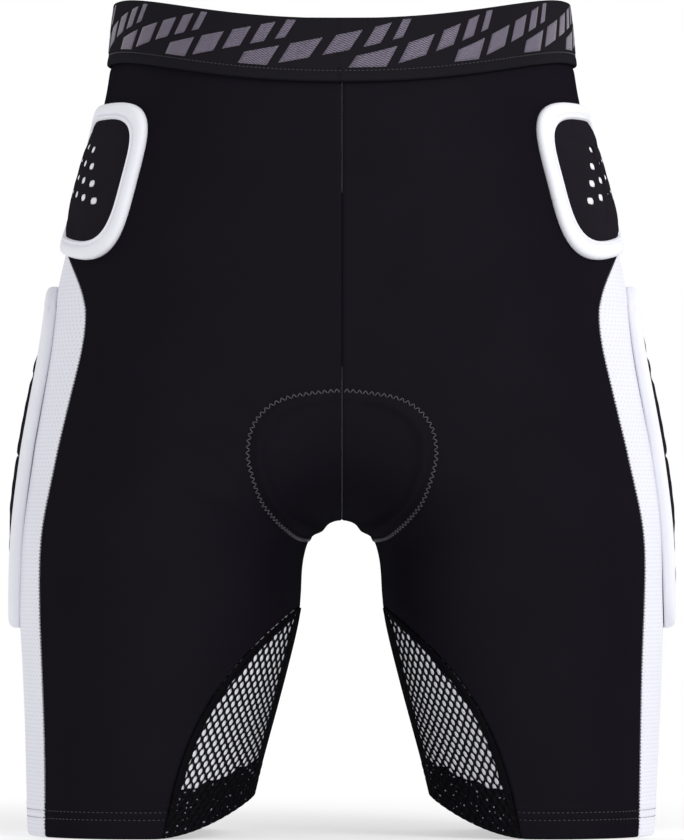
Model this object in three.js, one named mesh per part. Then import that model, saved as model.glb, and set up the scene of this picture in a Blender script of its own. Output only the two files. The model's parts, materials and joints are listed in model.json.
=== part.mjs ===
// Padded impact shorts: stretch shorts with hip, thigh and tailbone pads, a seat pad, and mesh inner thighs.
// Millimetres, +Z up. The wearer faces -Y and the wearer's left is +X.
// The origin lies midway between the two leg hems, on the level they end at.
import * as THREE from "three";

const { degToRad, lerp, clamp, smoothstep } = THREE.MathUtils;

// ---------------------------------------------------------------- driving dimensions

const HEIGHT = 520; // hem to the top of the waistband at the sides
const WAIST_DIP = 16; // how much lower the waistband runs at the centre front
const BAND_HEIGHT = 39; // waistband, top to bottom
const BAND_OVERLAP = 9; // body fabric tucked behind the waistband
const FABRIC = 1.2; // stretch fabric
const BAND_THICKNESS = 1.6; // woven elastic
const SEAM_GAP = 0.9; // between two panels that are sewn edge to edge
const LAYER_GAP = 1.0; // between fabric and what lies on it

const HIP = new THREE.Vector2(0, 300); // y and z of the hip axis, which runs along X
const HIP_DISC = 67; // the top of each side panel is round about the hip axis
const DISC_GAP = 1.2; // slit between that round top and the hip panels
const SWING_MARGIN = 2.5; // degrees left free beyond each end of a leg's swing
const FLEXION = 35 + SWING_MARGIN; // a leg swings this far forward about the hip axis
const EXTENSION = 12 + SWING_MARGIN; // and this far back
const GROIN_FOLD = 10; // the hip panels end this many degrees below the hip axis at the front
const SEAT_FOLD = 6; // and this many at the back
const CROTCH_HALF = 21; // half the width of the strip between the legs
const STRIP_GAP = 1.5; // between that strip and the legs

const GUSSET_TOP = 143; // apex of the mesh gusset
const GUSSET_FRONT = 74; // degrees it reaches forward from the inner thigh at the hem
const GUSSET_BACK = 7; // and back
const HEM_LIFT = 24; // the hem rises this much at the inner thigh
const HEM_LIFT_REACH = 80; // degrees from the inner thigh over which it comes back down
const HEM_FOLD = 22; // height of the turned-up hem
const SIDE_EDGE = 0.58; // side panel's front and back edges, as a share of the leg's depth

// Shape of the body, each as [height, value]. side and inner are a leg's outer and inner edges from the front.
const side = profile([[0, 196], [50, 198], [100, 200.5], [150, 202.5], [190, 201.5], [237, 196], [260, 192],
  [300, 184.5], [350, 176], [400, 163.5], [440, 153], [470, 146.5], [520, 141]]);
const innerLeg = profile([[0, 61], [40, 51.5], [100, 35.5], [140, 26.5], [180, 22.5], [198, 10], [215, -14],
  [240, -54], [270, -104], [300, -152], [330, -179]]);
const front = profile([[0, 73], [60, 78], [120, 84], [180, 90], [230, 98], [270, 104], [320, 108],
  [380, 109], [440, 106], [480, 103], [520, 101]]);
const back = profile([[0, 73], [60, 80], [120, 88], [180, 98], [215, 112], [250, 127], [290, 134],
  [330, 132], [380, 121], [430, 108], [480, 99], [520, 97]]);
const roundness = profile([[0, 2.05], [200, 2.1], [320, 2.25], [520, 2.2]]);
const blendRadius = profile([[0, 8], [150, 10], [200, 16], [230, 14], [270, 7], [310, 1.5], [340, 0.5],
  [520, 0.5]]);
const axisX = profile([[0, 128], [100, 118], [180, 110], [240, 100], [300, 90], [400, 80], [520, 66]]);
const WHOLE = 330; // above this height the two halves make one oval
const inner = (z) => (z < WHOLE ? innerLeg(z) : -side(z));

// A smooth curve through [height, value] points.
function profile(points) {
  const last = points.length - 1;
  const slope = points.map((_, i) => {
    const a = points[Math.max(i - 1, 0)];
    const b = points[Math.min(i + 1, last)];
    return (b[1] - a[1]) / (b[0] - a[0]);
  });
  return (z) => {
    const at = clamp(z, points[0][0], points[last][0]);
    const i = Math.min(points.findIndex((p, n) => n === last || points[n + 1][0] >= at), last - 1);
    const h = points[i + 1][0] - points[i][0];
    const t = (at - points[i][0]) / h;
    return points[i][1] * (1 + 2 * t) * (1 - t) ** 2 + slope[i] * h * t * (1 - t) ** 2
      + points[i + 1][1] * t * t * (3 - 2 * t) + slope[i + 1] * h * t * t * (t - 1);
  };
}

// ---------------------------------------------------------------- the body surface

const centreX = (z) => (side(z) + inner(z)) / 2;
const halfWidth = (z) => (side(z) - inner(z)) / 2;
const depth = (y, z) => (y < 0 ? front(z) : back(z));

// How far (x, y, z) lies outside the tube of the left leg and hip, roughly in mm.
function outsideTube(x, y, z) {
  const n = roundness(z);
  const u = Math.abs((x - centreX(z)) / halfWidth(z)) ** n;
  const v = Math.abs(y / depth(y, z)) ** n;
  return ((u + v) ** (1 / n) - 1) * halfWidth(z);
}

// The same for the whole garment: the left tube and its mirror image, joined smoothly.
function outside(x, y, z) {
  const a = outsideTube(x, y, z);
  const b = outsideTube(-x, y, z);
  const k = blendRadius(z);
  return Math.min(a, b) - k * Math.log(1 + Math.exp(-Math.abs(a - b) / k));
}

// Where value() crosses zero between a low end, where it is negative, and a high end.
function crossing(value, low, high) {
  for (let i = 0; i < 40; i++) {
    const middle = (low + high) / 2;
    if (value(middle) < 0) low = middle;
    else high = middle;
  }
  return (low + high) / 2;
}

const CROTCH = crossing((z) => -outside(0, 0, z), 150, 240);
const REACH = 260; // longer than any ray from the axis to the fabric

function normalAt(p) {
  const h = 0.4;
  return new THREE.Vector3(
    outside(p.x + h, p.y, p.z) - outside(p.x - h, p.y, p.z),
    outside(p.x, p.y + h, p.z) - outside(p.x, p.y - h, p.z),
    outside(p.x, p.y, p.z + h) - outside(p.x, p.y, p.z - h),
  ).normalize();
}

function raised(p, offset) {
  return offset ? p.clone().addScaledVector(normalAt(p), offset) : p;
}

// A point of the left half, at height z and in a direction from the leg's axis: 0 outward, -PI/2 forward.
function surface(z, azimuth, offset = 0) {
  const x0 = axisX(z);
  const dx = Math.cos(azimuth);
  const dy = Math.sin(azimuth);
  const far = dx < 0 ? Math.min(REACH, -x0 / dx) : REACH;
  const r = crossing((d) => outside(x0 + d * dx, d * dy, z), 0, far);
  const p = raised(new THREE.Vector3(x0 + r * dx, r * dy, z), offset);
  if (z === 0) p.z = 0; // the hem's edge is level through its whole thickness
  return p;
}

// The direction of the point at an angle round the tube's own oval.
function azimuthOf(z, angle) {
  const power = 2 / roundness(z);
  const c = Math.cos(angle);
  const s = Math.sin(angle);
  const x = centreX(z) + halfWidth(z) * Math.sign(c) * Math.abs(c) ** power;
  const y = depth(s, z) * Math.sign(s) * Math.abs(s) ** power;
  return Math.atan2(y, x - axisX(z));
}

// The centre seam, or below the crotch the inner-leg seam. way is -1 for the front and 1 for the back.
function seamAzimuth(z, way) {
  if (z <= CROTCH) return way * (Math.PI - SEAM_GAP / 2 / axisX(z));
  const y = way * crossing((d) => outside(0, way * d, z), 0, REACH);
  const room = SEAM_GAP / 2;
  return Math.atan2(y, room - axisX(z));
}

// Where the surface stands at the given x, left of the centre seam. Below the arch: the inner-leg seam.
function stripAzimuth(z, x, way) {
  const y = crossing((d) => outside(x, way * d, z), 0, REACH);
  return y < 1 ? seamAzimuth(z, way) : Math.atan2(way * y, x - axisX(z));
}

// Where the surface stands at the given distance in front of (-) or behind (+) the body's middle.
function azimuthAtY(z, y) {
  const n = roundness(z);
  const share = Math.min(Math.abs(y) / depth(y, z), 1);
  const x = centreX(z) + halfWidth(z) * (1 - share ** n) ** (1 / n);
  return Math.atan2(y, x - axisX(z));
}

// Distance of the side panel's edge from the body's middle: straight down the leg, and above that round about
// the hip axis.
function sideReach(z, way) {
  const rise = Math.max(z - HIP.y, 0);
  const round = Math.sqrt(Math.max(HIP_DISC ** 2 - rise ** 2, 0));
  return Math.min(SIDE_EDGE * depth(way, z), round);
}

function sideEdge(z, way, clearance = 0) {
  return azimuthAtY(z, way * (sideReach(z, way) + clearance));
}

// The hip panel's edge: round about the side panel's top, then clear of the side panel at the end of its swing.
function hipEdge(z, way) {
  const rise = z - HIP.y;
  const radius = HIP_DISC + DISC_GAP;
  if (rise > radius) return azimuthAtY(z, (way * SEAM_GAP) / 2);
  const swing = degToRad(way < 0 ? FLEXION : EXTENSION);
  const edge = sideReach(HIP.y - 40, way) + DISC_GAP;
  const swung = rise < edge * Math.sin(swing) ? (edge - rise * Math.sin(swing)) / Math.cos(swing) : 0;
  const round = Math.sqrt(radius ** 2 - Math.min(rise ** 2, radius ** 2));
  return azimuthAtY(z, way * Math.max(round, swung, SEAM_GAP / 2));
}

// The mesh gusset's front (way -1) or back edge, as an angle from the inner thigh.
function gussetReach(z, way) {
  const full = degToRad(way < 0 ? GUSSET_FRONT : GUSSET_BACK);
  return full * Math.sqrt(Math.max(1 - (z / GUSSET_TOP) ** 2.3, 0));
}

// How far the hem rises in a direction from the leg's axis. It is highest at the inner thigh.
function hemLift(azimuth) {
  const p = surface(0, azimuth);
  const fromOuter = Math.atan2(p.y / depth(p.y, 0), (p.x - centreX(0)) / halfWidth(0));
  return HEM_LIFT * (1 - smoothstep(Math.PI - Math.abs(fromOuter), 0, degToRad(HEM_LIFT_REACH)));
}

// How far the waistband drops at a direction from the axis: not at all at the side, fully at the centre front.
function waistDip(azimuth) {
  return WAIST_DIP * smoothstep(-azimuth, 0.43, 2.15);
}

// Where a column of the surface, given as a function from height to azimuth, crosses a ray from the hip axis
// that falls by the given angle towards the front or the back.
function foldHeight(azimuth, fall) {
  const slope = Math.tan(degToRad(fall));
  return crossing((z) => z - HIP.y + slope * Math.abs(surface(z, azimuth(z)).y), 150, HIP.y);
}

// Angle below the hip axis at which the fold starts on the hips and ends on the leg.
const foldStart = (way) => (way < 0 ? GROIN_FOLD : SEAT_FOLD);
const foldEnd = (way) => (way < 0 ? GROIN_FOLD + FLEXION : SEAT_FOLD + EXTENSION);

// ---------------------------------------------------------------- turning surfaces into solids

function solid(positions, faces) {
  let volume = 0;
  const [a, b, c] = [new THREE.Vector3(), new THREE.Vector3(), new THREE.Vector3()];
  for (const [i, j, k] of faces) {
    volume += a.copy(positions[i]).dot(b.copy(positions[j]).cross(c.copy(positions[k])));
  }
  const outward = volume > 0 ? faces : faces.map(([i, j, k]) => [i, k, j]);
  const geometry = new THREE.BufferGeometry().setFromPoints(positions);
  geometry.setIndex(outward.flat());
  geometry.computeVertexNormals();
  return geometry;
}

// A thin sheet between point(s, t, 0) and point(s, t, 1). s runs over columns and t over rows, each 0 to 1.
// keep(column, row) may leave cells out, and a wrapped sheet is a ring whose last column meets its first.
function sheet(columns, rows, point, { wrapped = false, keep = () => true } = {}) {
  const width = wrapped ? columns : columns + 1;
  const index = (c, r, layer) => (layer * (rows + 1) + r) * width + (wrapped ? c % columns : c);
  const positions = [];
  for (const layer of [0, 1]) {
    for (let r = 0; r <= rows; r++) {
      for (let c = 0; c < width; c++) positions.push(point(c / columns, r / rows, layer));
    }
  }
  const kept = (c, r) => r >= 0 && r < rows && (wrapped || (c >= 0 && c < columns))
    && keep((c + columns) % columns, r);
  const faces = [];
  const quad = (i, j, k, l) => faces.push([i, j, k], [i, k, l]);
  for (let r = 0; r < rows; r++) {
    for (let c = 0; c < columns; c++) {
      if (!kept(c, r)) continue;
      quad(index(c, r, 0), index(c + 1, r, 0), index(c + 1, r + 1, 0), index(c, r + 1, 0));
      quad(index(c, r + 1, 1), index(c + 1, r + 1, 1), index(c + 1, r, 1), index(c, r, 1));
      if (!kept(c, r - 1)) quad(index(c, r, 1), index(c + 1, r, 1), index(c + 1, r, 0), index(c, r, 0));
      if (!kept(c, r + 1)) {
        quad(index(c, r + 1, 0), index(c + 1, r + 1, 0), index(c + 1, r + 1, 1), index(c, r + 1, 1));
      }
      if (!kept(c - 1, r)) quad(index(c, r, 0), index(c, r + 1, 0), index(c, r + 1, 1), index(c, r, 1));
      if (!kept(c + 1, r)) {
        quad(index(c + 1, r, 1), index(c + 1, r + 1, 1), index(c + 1, r + 1, 0), index(c + 1, r, 0));
      }
    }
  }
  return compact(positions, faces);
}

// Drops the points that no face uses.
function compact(positions, faces) {
  const renamed = new Map();
  const used = [];
  const named = faces.map((face) => face.map((i) => {
    if (!renamed.has(i)) renamed.set(i, used.push(positions[i]) - 1);
    return renamed.get(i);
  }));
  return solid(used, named);
}

// A ring whose cross-section is the closed curve q -> point(s, q), both 0 to 1.
function ring(around, across, point) {
  const positions = [];
  for (let i = 0; i < around; i++) {
    for (let j = 0; j < across; j++) positions.push(point(i / around, j / across));
  }
  const index = (i, j) => (i % around) * across + (j % across);
  const faces = [];
  for (let i = 0; i < around; i++) {
    for (let j = 0; j < across; j++) {
      faces.push([index(i, j), index(i + 1, j), index(i + 1, j + 1)]);
      faces.push([index(i, j), index(i + 1, j + 1), index(i, j + 1)]);
    }
  }
  return solid(positions, faces);
}

// A plate between point(s, rho, 0) and point(s, rho, 1), with rho 0 in its middle and 1 at its rim.
function plate(around, rings, point) {
  const positions = [];
  for (const layer of [0, 1]) {
    positions.push(point(0, 0, layer));
    for (let r = 1; r <= rings; r++) {
      for (let i = 0; i < around; i++) positions.push(point(i / around, r / rings, layer));
    }
  }
  const middle = (layer) => layer * (1 + rings * around);
  const index = (i, r, layer) => middle(layer) + 1 + (r - 1) * around + (i % around);
  const faces = [];
  const quad = (i, j, k, l) => faces.push([i, j, k], [i, k, l]);
  for (let i = 0; i < around; i++) {
    faces.push([middle(0), index(i, 1, 0), index(i + 1, 1, 0)]);
    faces.push([middle(1), index(i + 1, 1, 1), index(i, 1, 1)]);
    for (let r = 1; r < rings; r++) {
      quad(index(i, r, 0), index(i, r + 1, 0), index(i + 1, r + 1, 0), index(i + 1, r, 0));
      quad(index(i + 1, r, 1), index(i + 1, r + 1, 1), index(i, r + 1, 1), index(i, r, 1));
    }
    quad(index(i, rings, 0), index(i, rings, 1), index(i + 1, rings, 1), index(i + 1, rings, 0));
  }
  return solid(positions, faces);
}

// ---------------------------------------------------------------- materials

function fabric(colour, roughness = 0.85) {
  return new THREE.MeshStandardMaterial({ color: colour, roughness, metalness: 0 });
}

const blackLycra = fabric(0x1e1b22, 0.7);
const whiteLycra = fabric(0xe4e4ee);
const blackMesh = fabric(0x0d0c10);
const jacquard = fabric(0x211f26);
const whitePadding = fabric(0xefeff5, 0.6);
const blackPadding = fabric(0x26232b);
const foam = fabric(0xf2f2f4, 0.95);
const elastic = fabric(0x2a282e);

function mesh(name, geometry, material) {
  const made = new THREE.Mesh(geometry, material);
  made.name = name;
  return made;
}

// ---------------------------------------------------------------- panels

// Heights of the rows of a hip panel above the fold, closer together where the disc's edge runs level.
function hipLevels(foldTop) {
  const above = [455, 425, 395, 376];
  const disc = [0, 16, 32, 48, 66, 84].map((a) => HIP.y + (HIP_DISC + DISC_GAP) * Math.cos(degToRad(a)));
  return [...above, ...disc].filter((z) => z > foldTop + 4).concat(foldTop);
}

// A front (way -1) or back (way 1) panel down to the hip's fold, with the strip that reaches the crotch.
function hipPanel(way) {
  const outer = (z) => hipEdge(z, way);
  const foldTop = foldHeight(outer, foldStart(way));
  const levels = hipLevels(foldTop);
  const columns = 10;
  const stripColumns = 2;
  const foldRows = 2;
  const stripRows = 7;
  const archShare = 0.3;
  const top = (azimuth) => HEIGHT - BAND_HEIGHT + BAND_OVERLAP - waistDip(azimuth);
  const stripEdge = (z) => stripAzimuth(z, CROTCH_HALF, way);
  const stripShare = stripColumns / columns;
  // The first columns follow the strip's width all the way up, and the others share out the rest.
  const azimuth = (s, z) => {
    const edge = stripEdge(z);
    return s <= stripShare
      ? lerp(seamAzimuth(z, way), edge, s / stripShare)
      : lerp(edge, outer(z), (s - stripShare) / (1 - stripShare));
  };
  const archFoot = crossing((z) => -outside(CROTCH_HALF, 0, z), 160, CROTCH) + 0.6;
  const stripTop = foldHeight(stripEdge, foldStart(way));
  const feet = Array.from({ length: columns + 1 }, (_, c) =>
    c <= stripColumns ? stripTop : foldHeight((z) => azimuth(c / columns, z), foldStart(way)));
  const rows = levels.length + foldRows + stripRows;
  const height = (s, row) => {
    if (row === 0) return top(azimuth(s, HEIGHT - BAND_HEIGHT));
    if (row <= levels.length) return levels[row - 1];
    if (row <= levels.length + foldRows) {
      return lerp(foldTop, feet[Math.round(s * columns)], (row - levels.length) / foldRows);
    }
    const down = (row - levels.length - foldRows) / stripRows;
    const toArch = 1 - archShare;
    return down < toArch
      ? lerp(stripTop, CROTCH, 1 - (1 - down / toArch) ** 1.8)
      : lerp(CROTCH, archFoot, ((down - toArch) / archShare) ** 1.4);
  };
  return sheet(columns, rows, (s, t, layer) => {
    const z = height(s, Math.round(t * rows));
    return surface(z, azimuth(s, z), -FABRIC * layer);
  }, { keep: (c, r) => r < levels.length + foldRows || c < stripColumns });
}

const stripSide = (z, way) => stripAzimuth(z, CROTCH_HALF + STRIP_GAP, way);

// The part of a front or back panel that belongs to the leg, from the fold down to the hem.
function legPanel(way) {
  const innerEdge = (z) => (z < GUSSET_TOP
    ? azimuthOf(z, way * (Math.PI - gussetReach(z, way))) - (way * SEAM_GAP) / halfWidth(z)
    : stripSide(z, way));
  const azimuth = (s, z) => lerp(innerEdge(z), sideEdge(z, way, SEAM_GAP), s);
  const columns = 8;
  const tops = Array.from({ length: columns + 1 }, (_, c) =>
    foldHeight((z) => azimuth(c / columns, z), foldEnd(way)));
  const shared = [184, 164, GUSSET_TOP, GUSSET_TOP - 1, 139, 131, 116, 96, 70, 50, 34, 0];
  const upperRows = 3;
  const rows = upperRows + shared.length - 1;
  return sheet(columns, rows, (s, t, layer) => {
    const row = Math.round(t * rows);
    const top = tops[Math.round(s * columns)];
    const z = row < upperRows ? lerp(top, shared[0], row / upperRows) : shared[row - upperRows];
    return surface(row < rows ? z : hemLift(azimuth(s, z)), azimuth(s, z), -FABRIC * layer);
  });
}

// The stretch zone between a hip panel and the leg: the groin fold (way -1) or the seat fold (way 1).
function foldPanel(way) {
  const columns = 8;
  const rows = 4;
  const room = 1; // degrees
  return sheet(columns, rows, (s, t, layer) => {
    const fall = lerp(foldStart(way) + room, foldEnd(way) - room, t);
    const inside = (z) => lerp(stripSide(z, way), sideEdge(z, way, SEAM_GAP), s);
    const z = foldHeight(inside, fall);
    return surface(z, inside(z), -FABRIC * layer);
  });
}

// The side panel, from the hem up to its round top about the hip axis.
function sidePanel() {
  const round = [8, 18, 30, 46, 66, 90].map((a) => HIP.y + HIP_DISC * Math.cos(degToRad(a)));
  const levels = [...round, 272, 240, 208, 176, GUSSET_TOP, 104, 50, 0];
  const rows = levels.length - 1;
  return sheet(8, rows, (s, t, layer) => {
    const z = levels[Math.round(t * rows)];
    return surface(z, lerp(sideEdge(z, -1), sideEdge(z, 1), s), -FABRIC * layer);
  });
}

// Direction of a point at an angle in front of (-) or behind (+) the inner thigh.
function azimuthFromInner(z, fromInner) {
  return azimuthOf(z, fromInner < 0 ? -Math.PI - fromInner : Math.PI - fromInner);
}

function meshGusset() {
  const levels = [GUSSET_TOP - 1, 139, 131, 116, 96, 70, 50, 34];
  const rows = levels.length;
  const columns = 8;
  return sheet(columns, rows, (s, t, layer) => {
    const row = Math.round(t * rows);
    const level = row < rows ? levels[row] : 0;
    const azimuth = azimuthFromInner(level, lerp(-gussetReach(level, -1), gussetReach(level, 1), s));
    return surface(row < rows ? level : hemLift(azimuth), azimuth, -FABRIC * layer);
  });
}

// A ring inside the hem, between two heights above its edge and at a depth behind the fabric.
function hemRing(low, high, near, thickness) {
  const columns = 36;
  return sheet(columns, 1, (s, t, layer) => {
    const azimuth = azimuthOf(0, 2 * Math.PI * s - Math.PI);
    return surface(lerp(high, low, t) + hemLift(azimuth), azimuth, -near - thickness * layer);
  }, { wrapped: true });
}

function waistband() {
  const columns = 52;
  return sheet(columns, 2, (s, t, layer) => {
    const mirrored = s > 0.5;
    const share = mirrored ? 2 - 2 * s : 2 * s;
    const top = HEIGHT;
    const turn = (z) => lerp(seamAzimuth(z, -1), seamAzimuth(z, 1), share);
    const z = top - waistDip(turn(top)) - t * BAND_HEIGHT;
    const p = surface(z, turn(z), LAYER_GAP + BAND_THICKNESS * (1 - layer));
    if (share < 1e-9 || share > 1 - 1e-9) p.x = 0;
    return mirrored ? new THREE.Vector3(-p.x, p.y, p.z) : p;
  }, { wrapped: true });
}

// ---------------------------------------------------------------- pads

// Each pad's outline is a rounded rectangle, with its half width and half height in mm along the surface.
// arc is how far behind the body's side its middle lies. lean is how far its top tips back for each mm of
// height, and taper is how much its lower edge rises towards the rear.
const HIP_PAD = {
  z: 408, arc: -35.5, halfWidth: 50.5, halfHeight: 47.5, lean: -0.12, taper: 0.155,
  rim: 11, rimHeight: 5, crown: 7.5,
};
const THIGH_PAD = {
  z: 236, arc: 12, halfWidth: 38, halfHeight: 107, lean: 0, taper: 0, rim: 10, rimHeight: 7, crown: 8.5,
};
const TAIL_PAD = {
  z: 352, halfWidth: 44, halfHeight: 56, lean: 0, taper: 0, rim: 11, rimHeight: 5, crown: 7.5,
};
const PAD_SQUARENESS = 3.8;
const PAD_SEGMENTS = 26;

// A place on the left side, by its distance along the surface from the body's side at the pad's middle height.
function onSide(pad) {
  const step = degToRad(0.5);
  const reachOf = [0];
  for (const way of [-1, 1]) {
    for (let i = 1; i < 240; i++) {
      const a = surface(pad.z, way * (i - 1) * step);
      const b = surface(pad.z, way * i * step);
      reachOf[way * i] = (reachOf[way * (i - 1)] ?? 0) + way * a.distanceTo(b);
    }
  }
  return (u, v, offset) => {
    const arc = pad.arc + u;
    const way = Math.sign(arc) || 1;
    let i = 0;
    while (Math.abs(reachOf[way * (i + 1)]) < Math.abs(arc)) i++;
    const share = (arc - reachOf[way * i]) / (reachOf[way * (i + 1)] - reachOf[way * i]);
    return surface(pad.z + v, way * (i + share) * step, offset);
  };
}

function onBack(pad) {
  return (u, v, offset) => {
    const z = pad.z + v;
    const y = crossing((d) => outside(u, d, z), 0, REACH);
    return raised(new THREE.Vector3(u, y, z), offset);
  };
}

// A point of the pad's outline shrunk by inset.
function outlinePoint(pad, s, inset) {
  const c = Math.cos(2 * Math.PI * s);
  const d = Math.sin(2 * Math.PI * s);
  const r = (Math.abs(c) ** PAD_SQUARENESS + Math.abs(d) ** PAD_SQUARENESS) ** (-1 / PAD_SQUARENESS);
  const u = (pad.halfWidth - inset) * r * c;
  const v = (pad.halfHeight - inset) * r * d * (1 - (d < 0 ? pad.taper * r * c : 0));
  return [u + pad.lean * v, v];
}

// Height of the cushion above the fabric: rho 0 in the middle, 1 where it meets the rim.
const crownHeight = (pad, rho) => lerp(pad.rimHeight - 1.5, pad.crown, 1 - rho ** 2.4);

function padRim(pad, place) {
  const across = 6;
  return ring(PAD_SEGMENTS, across, (s, q) => {
    const a = 2 * Math.PI * q;
    const half = pad.rim / 2;
    const [u, v] = outlinePoint(pad, s, half - half * Math.cos(a));
    return place(u, v, LAYER_GAP + (pad.rimHeight / 2) * (1 + Math.sin(a)));
  });
}

function padPlate(pad, place, low, high, inset) {
  return plate(PAD_SEGMENTS, 2, (s, rho, layer) => {
    const [u, v] = outlinePoint(pad, s, inset);
    return place(u * rho, v * rho, layer ? low(rho) : high(rho));
  });
}

// Rim, perforated cover and foam core of one pad.
function padMeshes(name, pad, place, ending) {
  const inset = pad.rim + 0.8;
  const skin = 1.6;
  const apart = 1.1;
  const top = (rho) => LAYER_GAP + crownHeight(pad, rho);
  const cover = padPlate(pad, place, (rho) => top(rho) - skin, top, inset);
  const core = padPlate(pad, place, () => LAYER_GAP, (rho) => top(rho) - skin - apart, inset);
  return [
    mesh(`${name}_rim${ending}`, padRim(pad, place), whitePadding),
    mesh(`${name}_cover${ending}`, cover, blackPadding),
    mesh(`${name}_foam${ending}`, core, foam),
  ];
}

// ---------------------------------------------------------------- seat pad

// Half the seat pad's width, by the angle round the crotch: 0 is level to the front, 90 straight down and 180
// level to the back.
const seatHalfWidth = profile([[-2, 26], [4, 44], [14, 56], [24, 56], [36, 44], [48, 28], [60, 19],
  [90, 17], [126, 18], [138, 28], [148, 44], [158, 56], [170, 58], [178, 50], [184, 30]]);
const SEAT_PAD_EYE = 274; // height the angles are taken from
const SEAT_FOAM = 6;
const SEAT_PAD_GAP = 3.5; // between the body fabric and the seat pad

function seatSheet(near, thickness) {
  const first = -2;
  const last = 184;
  return sheet(6, 24, (s, t, layer) => {
    const degrees = lerp(first, last, t);
    const a = degToRad(degrees);
    const x = seatHalfWidth(degrees) * (2 * s - 1);
    const d = crossing((r) => outside(x, -r * Math.cos(a), SEAT_PAD_EYE - r * Math.sin(a)), 0, REACH);
    const p = new THREE.Vector3(x, -d * Math.cos(a), SEAT_PAD_EYE - d * Math.sin(a));
    return raised(p, -near - thickness * layer);
  });
}

// ---------------------------------------------------------------- assembly

// Everything that comes in pairs, on the wearer's left. The right side is its mirror image.
function halfOf(ending) {
  const half = new THREE.Group();
  const elasticDepth = FABRIC + LAYER_GAP;
  const facingDepth = elasticDepth + 1 + LAYER_GAP;
  half.add(
    mesh(`front_panel${ending}`, hipPanel(-1), blackLycra),
    mesh(`back_panel${ending}`, hipPanel(1), blackLycra),
    mesh(`groin_fold${ending}`, foldPanel(-1), blackLycra),
    mesh(`seat_fold${ending}`, foldPanel(1), blackLycra),
    mesh(`thigh_front${ending}`, legPanel(-1), blackLycra),
    mesh(`thigh_back${ending}`, legPanel(1), blackLycra),
    mesh(`side_panel${ending}`, sidePanel(), whiteLycra),
    mesh(`mesh_gusset${ending}`, meshGusset(), blackMesh),
    mesh(`hem_elastic${ending}`, hemRing(4, HEM_FOLD - 6, elasticDepth, 1), elastic),
    mesh(`hem_facing${ending}`, hemRing(0, HEM_FOLD, facingDepth, FABRIC), blackLycra),
    ...padMeshes("hip_pad", HIP_PAD, onSide(HIP_PAD), ending),
    ...padMeshes("thigh_pad", THIGH_PAD, onSide(THIGH_PAD), ending),
  );
  return half;
}

const seatCoverDepth = FABRIC + SEAT_PAD_GAP + SEAT_FOAM + 2 * LAYER_GAP;
const shorts = new THREE.Group();
shorts.add(halfOf("_left"));
const right = halfOf("_right");
right.scale.x = -1;
shorts.add(right);
shorts.add(
  mesh("waistband", waistband(), jacquard),
  ...padMeshes("tailbone_pad", TAIL_PAD, onBack(TAIL_PAD), ""),
  mesh("seat_pad_foam", seatSheet(FABRIC + SEAT_PAD_GAP, SEAT_FOAM), foam),
  mesh("seat_pad_cover", seatSheet(seatCoverDepth, FABRIC), blackPadding),
);
const MIDDLE_Y = 15.9; // from the hip axis, which the surface is drawn about, to the middle of the whole object
shorts.position.y = -MIDDLE_Y;

export default shorts;
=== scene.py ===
"""Padded impact shorts: knitted panels, open mesh, moulded pads, elastic and stitching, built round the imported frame.

Shapes are worked out in millimetres with y measured from the hip axis, and turned into metres of the frame's row
at the last step. The wearer faces -Y, so the wearer's left is +X.
"""

import json
import math
import random

import bmesh
import bpy
import numpy as np
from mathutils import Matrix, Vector


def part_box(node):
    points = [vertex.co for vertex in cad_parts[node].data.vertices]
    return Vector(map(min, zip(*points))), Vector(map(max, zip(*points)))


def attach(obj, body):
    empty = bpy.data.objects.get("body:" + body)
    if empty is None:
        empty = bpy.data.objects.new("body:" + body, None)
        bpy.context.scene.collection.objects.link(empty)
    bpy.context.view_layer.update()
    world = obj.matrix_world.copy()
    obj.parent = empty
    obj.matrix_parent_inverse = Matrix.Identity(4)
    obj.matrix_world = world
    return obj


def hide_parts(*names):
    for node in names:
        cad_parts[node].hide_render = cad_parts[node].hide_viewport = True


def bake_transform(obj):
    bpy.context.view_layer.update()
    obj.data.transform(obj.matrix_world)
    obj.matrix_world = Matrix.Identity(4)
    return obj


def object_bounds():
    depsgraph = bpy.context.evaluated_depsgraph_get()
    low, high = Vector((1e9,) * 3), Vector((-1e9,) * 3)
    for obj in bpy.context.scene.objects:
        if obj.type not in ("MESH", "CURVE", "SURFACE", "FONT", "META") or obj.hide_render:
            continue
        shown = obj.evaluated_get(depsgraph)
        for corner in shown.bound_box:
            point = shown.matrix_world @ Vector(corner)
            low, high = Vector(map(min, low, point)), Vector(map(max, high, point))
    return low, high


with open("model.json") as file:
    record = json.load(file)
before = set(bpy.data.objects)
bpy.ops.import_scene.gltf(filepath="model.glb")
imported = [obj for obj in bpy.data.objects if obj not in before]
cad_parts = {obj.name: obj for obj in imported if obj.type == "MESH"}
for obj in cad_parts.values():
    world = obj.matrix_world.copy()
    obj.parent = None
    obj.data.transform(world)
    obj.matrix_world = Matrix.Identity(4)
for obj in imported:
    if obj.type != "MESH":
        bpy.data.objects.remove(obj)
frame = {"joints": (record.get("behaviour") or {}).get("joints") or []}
cad_low, cad_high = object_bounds()

# ---------------------------------------------------------------- driving dimensions, in mm

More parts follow.
